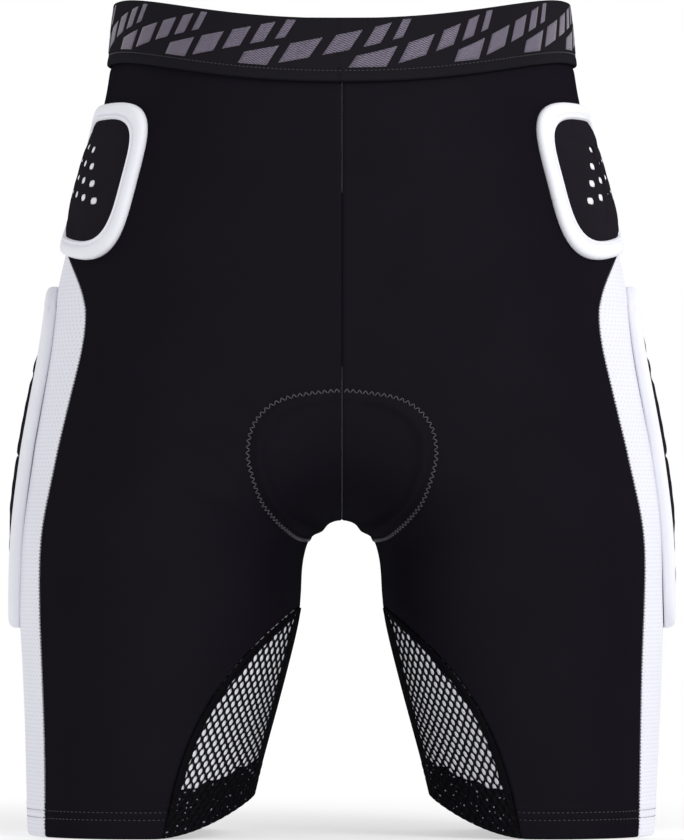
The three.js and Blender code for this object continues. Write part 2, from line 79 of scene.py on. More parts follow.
MM = 0.001
HIP_Y, HIP_Z = (value / MM for value in frame["joints"][0]["pos_m"][1:])
HEIGHT = cad_high.z / MM
BAND_LOW, BAND_HIGH = (corner.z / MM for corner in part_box("waistband"))
BAND_HEIGHT = 39
WAIST_DIP = BAND_HIGH - BAND_LOW - BAND_HEIGHT
FABRIC = 1.0
SEAM_GAP = 0.02
HIP_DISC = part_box("side_panel_left")[1].z / MM - HIP_Z
SIDE_EDGE = 0.58
GUSSET_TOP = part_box("mesh_gusset_left")[1].z / MM + 1
GUSSET_FRONT, GUSSET_BACK = math.radians(74), math.radians(7)
HEM_LIFT = 24
HEM_LIFT_REACH = math.radians(80)
HEM_FOLD = 22
HEM_ROLL = 1.7
REACH = 260


def profile(points):
    """A smooth curve through (place, value) points."""
    xs, ys = np.array(points, float).T
    last = len(xs) - 1
    before = np.maximum(np.arange(last + 1) - 1, 0)
    after = np.minimum(np.arange(last + 1) + 1, last)
    slope = (ys[after] - ys[before]) / (xs[after] - xs[before])

    def value(x):
        x = np.clip(x, xs[0], xs[-1])
        i = np.clip(np.searchsorted(xs, x) - 1, 0, last - 1)
        h = xs[i + 1] - xs[i]
        t = (x - xs[i]) / h
        rest = 1 - t
        return (ys[i] * (1 + 2 * t) * rest**2 + slope[i] * h * t * rest**2
                + ys[i + 1] * t * t * (3 - 2 * t) - slope[i + 1] * h * t * t * rest)

    return value


# Shape of the body, each as (height, value). side and inner_leg are the edges of the left leg seen from the front.
side = profile([(0, 196), (50, 198), (100, 200.5), (150, 202.5), (190, 201.5), (237, 196), (260, 192),
                (300, 184.5), (350, 176), (400, 163.5), (440, 153), (470, 146.5), (520, 141)])
inner_leg = profile([(0, 61), (40, 51.5), (100, 35.5), (140, 26.5), (180, 22.5), (198, 10), (215, -14),
                     (240, -54), (270, -104), (300, -152), (330, -179)])
front = profile([(0, 73), (60, 78), (120, 84), (180, 90), (230, 98), (270, 104), (320, 108), (380, 109),
                 (440, 106), (480, 103), (520, 101)])
back = profile([(0, 73), (60, 80), (120, 88), (180, 98), (215, 112), (250, 127), (290, 134), (330, 132),
                (380, 121), (430, 108), (480, 99), (520, 97)])
roundness = profile([(0, 2.05), (200, 2.1), (320, 2.25), (520, 2.2)])
blend_radius = profile([(0, 8), (150, 10), (200, 16), (230, 14), (270, 7), (310, 1.5), (340, 0.5), (520, 0.5)])
axis_x = profile([(0, 128), (100, 118), (180, 110), (240, 100), (300, 90), (400, 80), (520, 66)])
WHOLE = 330

# ---------------------------------------------------------------- the body surface


def smoothstep(x, low, high):
    t = np.clip((x - low) / (high - low), 0, 1)
    return t * t * (3 - 2 * t)


def bump(x, centre, width):
    return np.exp(-(((x - centre) / width) ** 2))


def inner(z):
    return np.where(z < WHOLE, inner_leg(z), -side(z))


def centre_x(z):
    return (side(z) + inner(z)) / 2


def half_width(z):
    return (side(z) - inner(z)) / 2


def depth(y, z):
    return np.where(np.asarray(y) < 0, front(z), back(z))


def section(z, way):
    """What the body's section at height z needs: centre, half width, depth, power and blending radius."""
    return centre_x(z), half_width(z), depth(way, z), roundness(z), blend_radius(z)


def outside_section(x, y, cut):
    """How far (x, y) lies outside the section, roughly in mm: two mirrored ovals, joined smoothly."""
    centre, half, deep, power, soft = cut
    v = np.abs(y / deep) ** power
    a = ((np.abs((x - centre) / half) ** power + v) ** (1 / power) - 1) * half
    b = ((np.abs((x + centre) / half) ** power + v) ** (1 / power) - 1) * half
    return np.minimum(a, b) - soft * np.log1p(np.exp(-np.abs(a - b) / soft))


def outside(x, y, z):
    return outside_section(x, y, section(z, y))


def crossing(value, low, high):
    """Where value() turns from negative to positive between low and high, for whole arrays at once."""
    low, high = np.array(low, float), np.array(high, float)
    for _ in range(34):
        middle = (low + high) / 2
        under = value(middle) < 0
        low = np.where(under, middle, low)
        high = np.where(under, high, middle)
    return (low + high) / 2


CROTCH = float(crossing(lambda z: -outside(0.0, 0.0, z), 150.0, 240.0))


def surface(z, azimuth):
    """Points of the left half, at heights z and in directions from the leg's axis: 0 outward, -pi/2 to the front."""
    z, azimuth = np.broadcast_arrays(np.asarray(z, float), np.asarray(azimuth, float))
    x0, dx, dy = axis_x(z), np.cos(azimuth), np.sin(azimuth)
    cut = section(z, dy)
    to_middle = np.divide(-x0, dx, out=np.full(z.shape, float(REACH)), where=dx < -1e-9)
    far = np.minimum(REACH, np.where(dx < -1e-9, to_middle, REACH))
    r = crossing(lambda d: outside_section(x0 + d * dx, d * dy, cut), np.zeros(z.shape), far)
    return np.stack([x0 + r * dx, r * dy, z], -1)


def normals(p):
    """Outward directions of the body surface at points of the left half."""
    h = 0.4
    x, y, z = np.moveaxis(p, -1, 0)
    n = np.stack([outside(x + h, y, z) - outside(x - h, y, z),
                  outside(x, y + h, z) - outside(x, y - h, z),
                  outside(x, y, z + h) - outside(x, y, z - h)], -1)
    return n / np.linalg.norm(n, axis=-1, keepdims=True)


def seam_azimuth(z, way):
    """The centre seam, or below the crotch the inner-leg seam. way is -1 for the front and 1 for the back."""
    z = np.asarray(z, float)
    y = way * crossing(lambda d: outside(np.zeros(z.shape), way * d, z), np.zeros(z.shape), np.full(z.shape, REACH))
    centre_seam = np.arctan2(y, SEAM_GAP / 2 - axis_x(z))
    leg_seam = way * (np.pi - SEAM_GAP / 2 / axis_x(z))
    return np.where(z > CROTCH, centre_seam, leg_seam)


def azimuth_of(z, angle):
    """Direction from the leg's axis of the point at an angle round the tube's own oval."""
    power = 2 / roundness(z)
    c, s = np.cos(angle), np.sin(angle)
    x = centre_x(z) + half_width(z) * np.sign(c) * np.abs(c) ** power
    y = depth(s, z) * np.sign(s) * np.abs(s) ** power
    return np.arctan2(y, x - axis_x(z))


def azimuth_at_y(z, y):
    n = roundness(z)
    share = np.minimum(np.abs(y) / depth(y, z), 1)
    x = centre_x(z) + half_width(z) * (1 - share**n) ** (1 / n)
    return np.arctan2(y, x - axis_x(z))


def side_edge(z, way):
    """The side panel's edge: straight down the leg, round about the hip axis above it, with the corner softened."""
    straight = SIDE_EDGE * depth(way, z)
    round_ = np.sqrt(np.maximum(HIP_DISC**2 - np.maximum(z - HIP_Z, 0) ** 2, 0))
    soft = 5.0
    reach = -soft * np.logaddexp(-straight / soft, -round_ / soft)
    return azimuth_at_y(z, way * np.maximum(reach, 0))


def gusset_reach(z, way):
    full = GUSSET_FRONT if way < 0 else GUSSET_BACK
    return full * np.sqrt(np.maximum(1 - np.abs(z / GUSSET_TOP) ** 2.3, 0))


def azimuth_from_inner(z, from_inner):
    """Direction of the point at an angle in front of (-) or behind (+) the inner thigh."""
    return azimuth_of(z, np.where(from_inner < 0, -np.pi - from_inner, np.pi - from_inner))


def lifted(z, azimuth):
    """Heights z above the hem turned into heights above the floor: the hem rises towards the inner thigh."""
    ground = surface(np.zeros(np.shape(azimuth)), azimuth)
    x, y = ground[..., 0], ground[..., 1]
    from_outer = np.arctan2(y / depth(y, 0), (x - centre_x(0)) / half_width(0))
    lift = HEM_LIFT * (1 - smoothstep(np.pi - np.abs(from_outer), 0, HEM_LIFT_REACH))
    return z + lift * (1 - smoothstep(z, 10, 110))


def waist_dip(azimuth):
    return WAIST_DIP * smoothstep(-azimuth, 0.43, 2.15)


# ---------------------------------------------------------------- relief: what the flat pattern doesn't say

SEAT_EYE_Z = 274
# Half the seat pad's width, by the angle round the crotch: 0 level to the front, 90 straight down, 180 to the back.
seat_half_width = profile([(-1, 3), (0, 20), (1.5, 34), (5, 46), (11, 54.5), (18, 57.5), (24, 57), (38, 49.5),
                           (47, 42), (58, 33), (75, 23), (90, 20), (120, 21), (138, 31), (148, 45), (158, 56),
                           (168, 60), (176, 54), (181, 38), (184, 8)])


def seat_inside(p):
    """How far a point lies inside the seat pad's outline, in mm along the fabric. Negative is outside."""
    x, y, z = np.moveaxis(p, -1, 0)
    down = SEAT_EYE_Z - z
    angle = np.degrees(np.arctan2(down, -y))
    radius = np.hypot(down, y)
    step = 0.5
    width = seat_half_width(angle)
    slope = (seat_half_width(angle + step) - seat_half_width(angle - step)) / (2 * np.radians(step) * radius)
    inside = (width - np.abs(x)) / np.sqrt(1 + slope**2)
    return np.where(angle < -1, -20 + angle, inside)


def creases(p):
    """Shallow folds of the cloth, strongest where the groin and the buttocks turn into the legs."""
    x, y, z = np.moveaxis(p, -1, 0)
    away = np.abs(x)
    groin = bump(away, 84, 34) * bump(z, 214 + 0.25 * (away - 84), 22) * (y < 0)
    fan = np.sin((z - 0.62 * away + 5 * np.sin(away / 23 + x / 40)) / 4.3)
    seat = bump(away, 62, 34) * bump(z, 196, 20) * (y > 0)
    under = np.sin((z + 0.3 * away + 4 * np.sin(away / 19)) / 4.8)
    soft = np.sin(x / 37 + z / 61) * np.sin(z / 43 - y / 29 + 1.3) + 0.6 * np.sin(x / 19 - z / 27 + y / 31)
    hem = bump(z, 30, 26) * np.sin(np.arctan2(y, away - 128) * 9 + x / 60)
    return 0.45 * groin * fan + 0.45 * seat * under + 0.4 * soft + 0.3 * hem


def relief(p):
    inside = seat_inside(p)
    shown = smoothstep(-p[..., 1], -20, 10) + 0.75 * smoothstep(p[..., 1], 20, 60)
    seat = 2.3 * bump(inside, 6.2, 3.4) + 0.8 * smoothstep(inside, 0, 9) - 0.5 * bump(inside, 0, 2.2)
    x, y, z = np.moveaxis(p, -1, 0)
    band_foot = HEIGHT - BAND_HEIGHT - waist_dip(np.arctan2(y, np.abs(x) - axis_x(z)))
    tucked = -1.1 * smoothstep(z, band_foot - 5, band_foot + 3)
    calm = 1 - smoothstep(z, band_foot - 40, band_foot)
    return shown * seat + tucked + calm * creases(p)


def seam_valley(edge_distance):
    """The dip beside a seam and the low ridge of its turnings, by the distance from the panel's edge."""
    return -0.6 * bump(edge_distance, 0, 0.9) + 0.18 * bump(edge_distance, 2.6, 1.1)


# ---------------------------------------------------------------- meshes


def to_frame(points, mirrored):
    """Millimetres about the hip axis, on the left, into metres of the frame, on the left or the right."""
    p = np.array(points, float).reshape(-1, 3) + (0, HIP_Y, 0)
    if mirrored:
        p[:, 0] *= -1
    return p * MM


def make(name, points, faces, mirrored, materials, uv=None, face_material=None, smooth=True):
    """A Blender mesh from points in mm. uv holds one pair of mm for each point."""
    mesh = bpy.data.meshes.new(name)
    faces = [tuple(reversed(f)) for f in faces] if mirrored else faces
    mesh.from_pydata(to_frame(points, mirrored).tolist(), [], faces)
    if uv is not None:
        loops = np.zeros(len(mesh.loops), np.int32)
        mesh.loops.foreach_get("vertex_index", loops)
        layer = mesh.uv_layers.new(name="cloth")
        layer.data.foreach_set("uv", (np.array(uv, np.float32).reshape(-1, 2) * MM)[loops].ravel())
    for material in materials:
        mesh.materials.append(material)
    if face_material is not None:
        mesh.polygons.foreach_set("material_index", np.array(face_material, np.int32))
    mesh.polygons.foreach_set("use_smooth", [smooth] * len(mesh.polygons))
    mesh.update()
    obj = bpy.data.objects.new(name, mesh)
    bpy.context.scene.collection.objects.link(obj)
    return obj


def grid_faces(rows, columns, start=0, wrapped=False, flipped=False):
    faces = []
    for r in range(rows - 1):
        for c in range(columns if wrapped else columns - 1):
            d = (c + 1) % columns
            quad = (start + r * columns + c, start + r * columns + d,
                    start + (r + 1) * columns + d, start + (r + 1) * columns + c)
            faces.append(quad[::-1] if flipped else quad)
    return faces


def grid_normals(grid, wrapped=False):
    """Directions square to a grid of points, taken from its neighbours."""
    if wrapped:
        across = np.roll(grid, -1, 1) - np.roll(grid, 1, 1)
    else:
        across = np.gradient(grid, axis=1)
    along = np.gradient(grid, axis=0)
    n = np.cross(across, along)
    return n / np.maximum(np.linalg.norm(n, axis=-1, keepdims=True), 1e-9)


def shell(name, grid, mirrored, materials, uv, thickness=FABRIC, wrapped=False):
    """A closed sheet: the grid is its outer face and the inner face lies a thickness behind."""
    rows, columns = grid.shape[:2]
    thickness = np.broadcast_to(np.asarray(thickness, float), (rows, columns))[..., None]
    n = grid_normals(grid, wrapped)
    if np.sum(n * normals(grid)) < 0:
        grid, uv, thickness = grid[:, ::-1], np.broadcast_to(uv, (rows, columns, 2))[:, ::-1], thickness[:, ::-1]
        n = -n[:, ::-1]
    count = rows * columns
    points = np.concatenate([grid.reshape(-1, 3), (grid - n * thickness).reshape(-1, 3)])
    faces = grid_faces(rows, columns, 0, wrapped, flipped=True)
    faces += grid_faces(rows, columns, count, wrapped)
    last = (rows - 1) * columns
    for c in range(columns if wrapped else columns - 1):
        d = (c + 1) % columns
        faces.append((c, d, count + d, count + c))
        faces.append((last + d, last + c, count + last + c, count + last + d))
    if not wrapped:
        for r in range(rows - 1):
            a, b = r * columns, (r + 1) * columns
            faces.append((b, a, count + a, count + b))
            a, b = a + columns - 1, b + columns - 1
            faces.append((a, b, count + b, count + a))
    both = np.concatenate([uv.reshape(-1, 2)] * 2)
    return make(name, points, faces, mirrored, materials, both)


# ---------------------------------------------------------------- materials


class Nodes:
    """A short way to write a material's node tree."""

    def __init__(self, name):
        self.material = bpy.data.materials.new(name)
        self.material.use_nodes = True
        self.tree = self.material.node_tree
        self.shader = self.tree.nodes["Principled BSDF"]

    def add(self, kind, inputs=None, **settings):
        node = self.tree.nodes.new("ShaderNode" + kind)
        for key, value in settings.items():
            setattr(node, key, value)
        for key, value in (inputs or {}).items():
            self.set(node, key, value)
        return node

    def set(self, node, key, value):
        if isinstance(value, bpy.types.Node):
            value = value.outputs[0]
        if isinstance(value, bpy.types.NodeSocket):
            self.tree.links.new(value, node.inputs[key])
        else:
            node.inputs[key].default_value = value

    def math(self, operation, a, b=0.0, c=0.0):
        return self.add("Math", {0: a, 1: b, 2: c}, operation=operation)

    def mix(self, share, a, b):
        node = self.add("Mix", data_type="RGBA")
        self.set(node, 0, share)
        self.set(node, 6, a)
        self.set(node, 7, b)
        return node.outputs[2]

    def cloth(self):
        """The cloth's own coordinates, in mm across and mm up."""
        split = self.add("SeparateXYZ", {0: self.add("UVMap", uv_map="cloth")})
        return self.math("DIVIDE", split.outputs[0], MM), self.math("DIVIDE", split.outputs[1], MM)

    def noise(self, scale, detail=2.0, vector=None):
        """Noise with features of about 1/scale metres, in the place's own coordinates."""
        if vector is None:
            vector = self.add("TexCoord").outputs["Object"]
        return self.add("TexNoise", {"Vector": vector, "Scale": scale, "Detail": detail})

    def wave(self, place, pitch, shift=0.0):
        """0 to 1 and back once in every pitch of place."""
        turned = self.math("MULTIPLY_ADD", place, 2 * math.pi / pitch, shift)
        return self.math("MULTIPLY_ADD", self.math("SINE", turned), 0.5, 0.5)

    def bumps(self, height, distance, strength=1.0):
        self.set(self.shader, "Normal", self.add(
            "Bump", {"Height": height, "Distance": distance, "Strength": strength}).outputs[0])

    def gloss(self, amount):
        """Shine that fades away where the surface turns edge on, as it does on matt cloth."""
        square_on = self.math("SUBTRACT", 1.0, self.add("LayerWeight").outputs["Facing"])
        level = self.math("MULTIPLY", self.math("POWER", square_on, 2.5), amount)
        self.set(self.shader, "Specular IOR Level", level)


PORE_ACROSS, PORE_UP = 4.4, 2.5  # mm between the fine pores of the white knit


def knit(name, dark, light, pitch, roughness, sheen, sheen_tint, depth_mm=0.12, dots=0.0, gloss=0.3):
    """Warp knit: columns of small loops, with a slow change of shade and, on white, a grid of fine pores."""
    m = Nodes(name)
    u, v = m.cloth()
    across = m.wave(u, pitch)
    along = m.wave(v, pitch * 1.3, 1.7)
    loops = m.math("MULTIPLY", across, along)
    shade = m.noise(26.0, 3.0)
    grain = m.noise(2600.0, 1.0)
    mixed = m.math("MULTIPLY_ADD", shade, 0.7, m.math("MULTIPLY", grain, 0.3))
    colour = m.mix(mixed, (*dark, 1), (*light, 1))
    if dots:
        row = m.math("ROUND", m.math("DIVIDE", v, PORE_UP))
        staggered = m.math("MULTIPLY_ADD", u, 2 * math.pi / PORE_ACROSS, m.math("MULTIPLY", row, math.pi))
        across_pore = m.math("MULTIPLY_ADD", m.math("SINE", staggered), 0.5, 0.5)
        pore = m.math("POWER", m.math("MULTIPLY", across_pore, m.wave(v, PORE_UP, math.pi / 2)), 2.5)
        colour = m.mix(m.math("MULTIPLY", pore, dots), colour, (0.42, 0.42, 0.5, 1))
        loops = m.math("SUBTRACT", loops, pore)
    m.bumps(loops, depth_mm * MM, 0.55)
    m.set(m.shader, "Base Color", colour)
    m.set(m.shader, "Roughness", m.math("MULTIPLY_ADD", grain, 0.12, roughness - 0.06))
    m.set(m.shader, "Sheen Weight", sheen)
    m.set(m.shader, "Sheen Roughness", 0.35)
    m.set(m.shader, "Sheen Tint", (*sheen_tint, 1))
    m.gloss(gloss)
    return m.material


def doubled_net(name, dark, speck, across, up):
    """Net folded over itself, with painted light: pale specks painted here and there where two holes fall together and
    would let light through.
    """
    m = Nodes(name)
    u, v = m.cloth()
    cells = m.math("MULTIPLY", m.wave(u, across), m.wave(v, up, 0.8))
    chance = m.noise(330.0, 1.0)
    # painted light: pale specks in the base colour where the doubled holes would let light through
    painted_specks = m.math("MULTIPLY", m.math("GREATER_THAN", cells, 0.62), m.math("GREATER_THAN", chance, 0.64))
    m.bumps(m.math("SUBTRACT", cells, m.math("MULTIPLY", chance, 0.5)), 0.9 * MM, 0.9)
    m.set(m.shader, "Base Color", m.mix(painted_specks, (*dark, 1), (*speck, 1)))
    m.set(m.shader, "Roughness", 0.6)
    m.gloss(0.06)
    return m.material


def moulded(name, dark, light, roughness, grain_mm, depth_mm, sheen=0.0, gloss=0.35):
    """Soft moulded skin with a fine leathery grain."""
    m = Nodes(name)
    place = m.add("TexCoord").outputs["Object"]
    grain = m.add("TexVoronoi", {"Vector": place, "Scale": 1 / (grain_mm * MM)})
    shade = m.noise(40.0, 3.0, place)
    m.bumps(m.math("ADD", grain, m.math("MULTIPLY", shade, 0.6)), depth_mm * MM, 0.5)
    m.set(m.shader, "Base Color", m.mix(shade, (*dark, 1), (*light, 1)))
    m.set(m.shader, "Roughness", m.math("MULTIPLY_ADD", shade, 0.2, roughness - 0.1))
    m.set(m.shader, "Sheen Weight", sheen)
    m.gloss(gloss)
    return m.material


def elastic(name, dark, light, rib):
    """Woven elastic: ribs along the band, crossed by fine weft."""
    m = Nodes(name)
    u, v = m.cloth()
    ribs = m.wave(v, rib)
    weft = m.wave(u, rib * 0.62)
    woven = m.math("MULTIPLY_ADD", weft, 0.45, m.math("MULTIPLY", ribs, 0.55))
    grain = m.noise(1900.0, 2.0)
    m.bumps(woven, 0.22 * MM, 0.8)
    share = m.math("MULTIPLY", m.math("ADD", woven, grain), 0.5)
    m.set(m.shader, "Base Color", m.mix(share, (*dark, 1), (*light, 1)))
    m.set(m.shader, "Roughness", 0.72)
    m.set(m.shader, "Sheen Weight", 0.02)
    m.gloss(0.08)
    return m.material


def twill(name, ground, thread):
    """The woven marks of the waistband: light floats on a dark ground in slanting lines."""
    m = Nodes(name)
    u, v = m.cloth()
    slant = m.wave(m.math("MULTIPLY_ADD", v, 1.4, u), 2.1)
    picks = m.wave(v, 1.05, 0.4)
    broken = m.noise(900.0, 1.0)
    floats = m.math("ADD", m.math("MULTIPLY", slant, 0.75), m.math("MULTIPLY", picks, 0.45))
    floats = m.math("ADD", floats, m.math("MULTIPLY_ADD", broken, 0.9, -0.6))
    share = m.add("Clamp", {0: floats})
    m.bumps(share, 0.2 * MM, 0.8)
    m.set(m.shader, "Base Color", m.mix(share, (*ground, 1), (*thread, 1)))
    m.set(m.shader, "Roughness", 0.55)
    m.set(m.shader, "Sheen Weight", 0.2)
    return m.material


def foam(name, light):
    m = Nodes(name)
    place = m.add("TexCoord").outputs["Object"]
    cells = m.add("TexVoronoi", {"Vector": place, "Scale": 1100.0})
    m.bumps(cells, 0.3 * MM, 0.6)
    m.set(m.shader, "Base Color", m.mix(cells, (*light, 1), tuple(0.86 * c for c in light) + (1,)))
    m.set(m.shader, "Roughness", 0.9)
    m.set(m.shader, "Subsurface Weight", 0.1)
    m.set(m.shader, "Subsurface Radius", (0.002, 0.002, 0.002))
    return m.material


def thread(name, colour):
    """Twisted sewing thread."""
    m = Nodes(name)
    place = m.add("TexCoord").outputs["Object"]
    twist = m.add("TexWave", {"Vector": place, "Scale": 900.0, "Distortion": 0.5}, bands_direction="DIAGONAL")
    m.bumps(twist, 0.05 * MM, 0.5)
    m.set(m.shader, "Base Color", m.mix(twist, (*colour, 1), tuple(0.6 * c for c in colour) + (1,)))
    m.set(m.shader, "Roughness", 0.5)
    m.set(m.shader, "Sheen Weight", 0.2)
    return m.material


VIOLET = (0.5, 0.46, 0.62)
BLACK_KNIT = knit("black_knit", (0.0044, 0.0037, 0.0064), (0.0072, 0.006, 0.0098), 0.42, 0.64, 0.008, VIOLET,
                  gloss=0.06)
WHITE_KNIT = knit("white_knit", (0.76, 0.76, 0.84), (0.84, 0.84, 0.9), 0.5, 0.62, 0.1, (1, 1, 1), 0.1, dots=0.42)
PALE_LINING = knit("pale_lining", (0.8, 0.8, 0.86), (0.9, 0.9, 0.94), 0.6, 0.8, 0.1, (1, 1, 1))
BLACK_NET = knit("black_net", (0.003, 0.0027, 0.0036), (0.0055, 0.005, 0.0065), 0.5, 0.55, 0.004, VIOLET, gloss=0.06)
BLACK_TAPE = knit("black_tape", (0.0022, 0.0019, 0.0028), (0.0038, 0.0034, 0.0046), 0.7, 0.6, 0.003, VIOLET, 0.2,
                  gloss=0.04)
# the third colour is painted light: the pale specks seen through the folded net's holes
NET_HEM = doubled_net("doubled_net", (0.0026, 0.0023, 0.0033), (0.24, 0.22, 0.29), 2.9, 3.3)
BAND = elastic("waistband_elastic", (0.0035, 0.003, 0.0045), (0.013, 0.0115, 0.0165), 0.8)
MARKS = twill("waistband_marks", (0.016, 0.0135, 0.022), (0.2, 0.165, 0.245))
HEM_ELASTIC = elastic("hem_elastic", (0.01, 0.009, 0.012), (0.03, 0.028, 0.034), 1.2)
RIM = moulded("white_rim", (0.79, 0.79, 0.86), (0.85, 0.85, 0.905), 0.5, 0.35, 0.05)
COVER = moulded("black_cover", (0.0085, 0.0073, 0.0108), (0.0125, 0.0108, 0.0155), 0.68, 0.3, 0.07, 0.01, 0.06)
FOAM = foam("white_foam", (0.88, 0.88, 0.9))
SEAT_LINING = knit("seat_lining", (0.012, 0.011, 0.015), (0.028, 0.026, 0.034), 0.9, 0.85, 0.3, (0.6, 0.58, 0.7), 0.3)
GREY_THREAD = thread("grey_thread", (0.07, 0.06, 0.085))
DARK_THREAD = thread("dark_thread", (0.018, 0.016, 0.022))

# ---------------------------------------------------------------- how pieces follow the bodies

SIDES = (("_left", False, "left_leg"), ("_right", True, "right_leg"))


def swing(piece):
    """Bakes the piece's placing into its mesh, the same way for every piece."""
    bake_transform(piece)
    return piece


def put(piece, body=None, replaces=()):
    if body:
        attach(piece, body)
    if replaces:
        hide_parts(*replaces)
    return piece


# ---------------------------------------------------------------- fabric panels

EDGE_STEPS = np.array([0, 0.5, 1.0, 1.7, 2.6, 3.8])


def spread(rows_z, first, last, middle_columns, lift=True):
    """A grid between two edges given as directions for each height, with columns gathered beside both edges.

    Returns its points, the distances of its columns from the nearer edge, and cloth coordinates.
    """
    fine = np.linspace(0, 1, 61)
    z = rows_z[:, None]
    directions = first[:, None] + (last - first)[:, None] * fine
    trial = surface(np.broadcast_to(z, directions.shape), directions)
    lengths = np.concatenate([np.zeros((len(rows_z), 1)),
                              np.cumsum(np.linalg.norm(np.diff(trial, axis=1), axis=-1), 1)], 1)
    whole = lengths[:, -1:]
    middle = np.linspace(0, 1, middle_columns)[1:-1]
    near = EDGE_STEPS * np.minimum(1, whole / 40)
    gap = near[:, -1:]
    places = np.concatenate([near, gap + (whole - 2 * gap) * middle, whole - near[:, ::-1]], 1)
    azimuth = np.stack([np.interp(a, b, c) for a, b, c in zip(places, lengths, directions)])
    heights = lifted(z, azimuth) if lift else np.broadcast_to(z, azimuth.shape)
    grid = surface(heights, azimuth)
    edge = np.minimum(places, whole - places)
    grain = -np.pi / 2 if np.mean(first + last) < 0 else np.pi / 2
    origin = np.stack([np.interp(0, (c - grain) * np.sign(c[-1] - c[0]), b) for b, c in zip(lengths, directions)])
    uv = np.stack([places - origin[:, None], np.broadcast_to(z, places.shape)], -1)
    return grid, edge, uv, azimuth


def signed(p, mirrored):
    return p * (-1, 1, 1) if mirrored else p


def dressed(grid, edge, mirrored):
    """The grid moved out along the surface by the cloth's relief and into its seams. Returns points and normals."""
    n = normals(grid)
    lift = relief(signed(grid, mirrored)) + seam_valley(edge)
    return grid + n * lift[..., None], n


def with_hem(grid, n, uv):
    """Adds the rolled lower edge to a panel whose last row is the hem."""
    turns = np.radians([20, 45, 70, 90, 110, 135, 160, 180])
    foot, out, cloth = grid[-1], n[-1] * (1, 1, 0), uv[-1]
    out = out / np.linalg.norm(out, axis=-1, keepdims=True)
    rows = [foot - out * HEM_ROLL * (1 - math.cos(a)) - np.array((0, 0, HEM_ROLL * math.sin(a))) for a in turns]
    rows += [rows[-1] + np.array((0, 0, h)) for h in (1.5, 4.0)]
    cloths = [cloth - (0, HEM_ROLL * a) for a in turns] + [cloth - (0, HEM_ROLL * math.pi + h) for h in (1.5, 4.0)]
    return np.concatenate([grid, np.stack(rows)]), np.concatenate([uv, np.stack(cloths)])


def hem_rows():
    """Heights of the rows in the turned-up hem, close enough to carry its two lines of stitching."""
    return np.linspace(HEM_FOLD + 3, HEM_ROLL, 30)


HEM_LINES = (16.5, 11.8)


def hem_relief(height):
    lines = sum(bump(height, line, 0.8) for line in HEM_LINES)
    return -0.35 * lines + 0.35 * (1 - smoothstep(height, HEM_FOLD - 1.5, HEM_FOLD))


def square_root_levels(low, high, at, step):
    """Heights between low and high, closer together beside at, where the surface runs level."""
    def side_of(limit):
        span = abs(limit - at)
        count = max(int(math.sqrt(span) * 1.9 * math.sqrt(5.0 / step)), 4)
        return at + np.sign(limit - at) * span * np.linspace(0, 1, count) ** 2
    return np.unique(np.concatenate([side_of(low), side_of(high)]))[::-1]


def body_panel(way, suffix, mirrored):
    """A whole front or back panel, from under the waistband to the hem."""
    disc_top = HIP_Z + HIP_DISC
    top = HEIGHT - BAND_HEIGHT + 12
    upper = np.linspace(top, disc_top, 34)
    rounded = HIP_Z + HIP_DISC * np.cos(np.linspace(0.06, np.pi / 2, 22))
    middle = np.linspace(HIP_Z - 3, 262, 14)
    near_crotch = square_root_levels(152, 259, CROTCH, 1.8)
    apex = GUSSET_TOP - (np.linspace(0.02, 1, 14) ** 2) * 22
    lower = np.linspace(GUSSET_TOP - 25, HEM_FOLD + 6, 32)
    z = np.concatenate([upper, rounded, middle, near_crotch, apex, lower, hem_rows()])
    outer = side_edge(z, way)
    outer = np.where(z >= disc_top - 1e-6, way * SEAM_GAP / 2 / side(z), outer)
    sunk = WAIST_DIP * smoothstep(z, HEIGHT - BAND_HEIGHT - 60, top) if way < 0 else 0
    seam = seam_azimuth(z - sunk, way)
    gusset = azimuth_from_inner(z, way * gusset_reach(z, way))
    first = np.where(z < GUSSET_TOP, gusset, seam)
    grid, edge, uv, azimuth = spread(z, first, outer, 84)
    above = z[:, None] > HEIGHT - BAND_HEIGHT - 60
    dip = waist_dip(azimuth) * smoothstep(z[:, None], HEIGHT - BAND_HEIGHT - 60, top)
    grid = np.where(above[..., None], surface(grid[..., 2] - dip, azimuth), grid)
    points, n = dressed(grid, edge, mirrored)
    points = points + n * hem_relief(z)[:, None, None]
    points, uv = with_hem(points, n, uv)
    word = "front" if way < 0 else "back"
    panel = shell(f"{word}_cloth{suffix}", points, mirrored, [BLACK_KNIT], uv)
    fold = "groin_fold" if way < 0 else "seat_fold"
    parts = (f"{word}_panel{suffix}", f"{fold}{suffix}", f"thigh_{word}{suffix}")
    return put(swing(panel), replaces=parts)


def side_panel(suffix, mirrored):
    disc_top = HIP_Z + HIP_DISC
    rounded = HIP_Z + HIP_DISC * np.cos(np.linspace(0.09, np.pi / 2, 24))
    z = np.concatenate([rounded, np.linspace(HIP_Z - 4, HEM_FOLD + 6, 80), hem_rows()])
    grid, edge, uv, _ = spread(z, side_edge(z, -1), side_edge(z, 1), 30)
    points, n = dressed(grid, edge, mirrored)
    points = points + n * hem_relief(z)[:, None, None]
    points, uv = with_hem(points, n, uv)
    panel = shell(f"side_cloth{suffix}", points, mirrored, [WHITE_KNIT], uv)
    return put(swing(panel), replaces=(f"side_panel{suffix}",))


# ---------------------------------------------------------------- mesh gussets

CELL_ACROSS, CELL_UP = 4.7, 4.3
HOLE_ACROSS, HOLE_UP = 1.42, 2.25
STRAND = 0.4
TAPE_FRONT = math.radians(15)
BINDING = 5.5
GUSSET_HEM = 29


def gusset_radius(z):
    return (half_width(z) + front(z)) / 2


def stretched(angle):
    """Place across the gusset for an angle in front of the inner thigh: the net is pulled wider near the inseam."""
    return 0.35 * angle + 0.65 * (1 - np.cos(angle))


ANGLES = np.linspace(0, math.radians(100), 400)


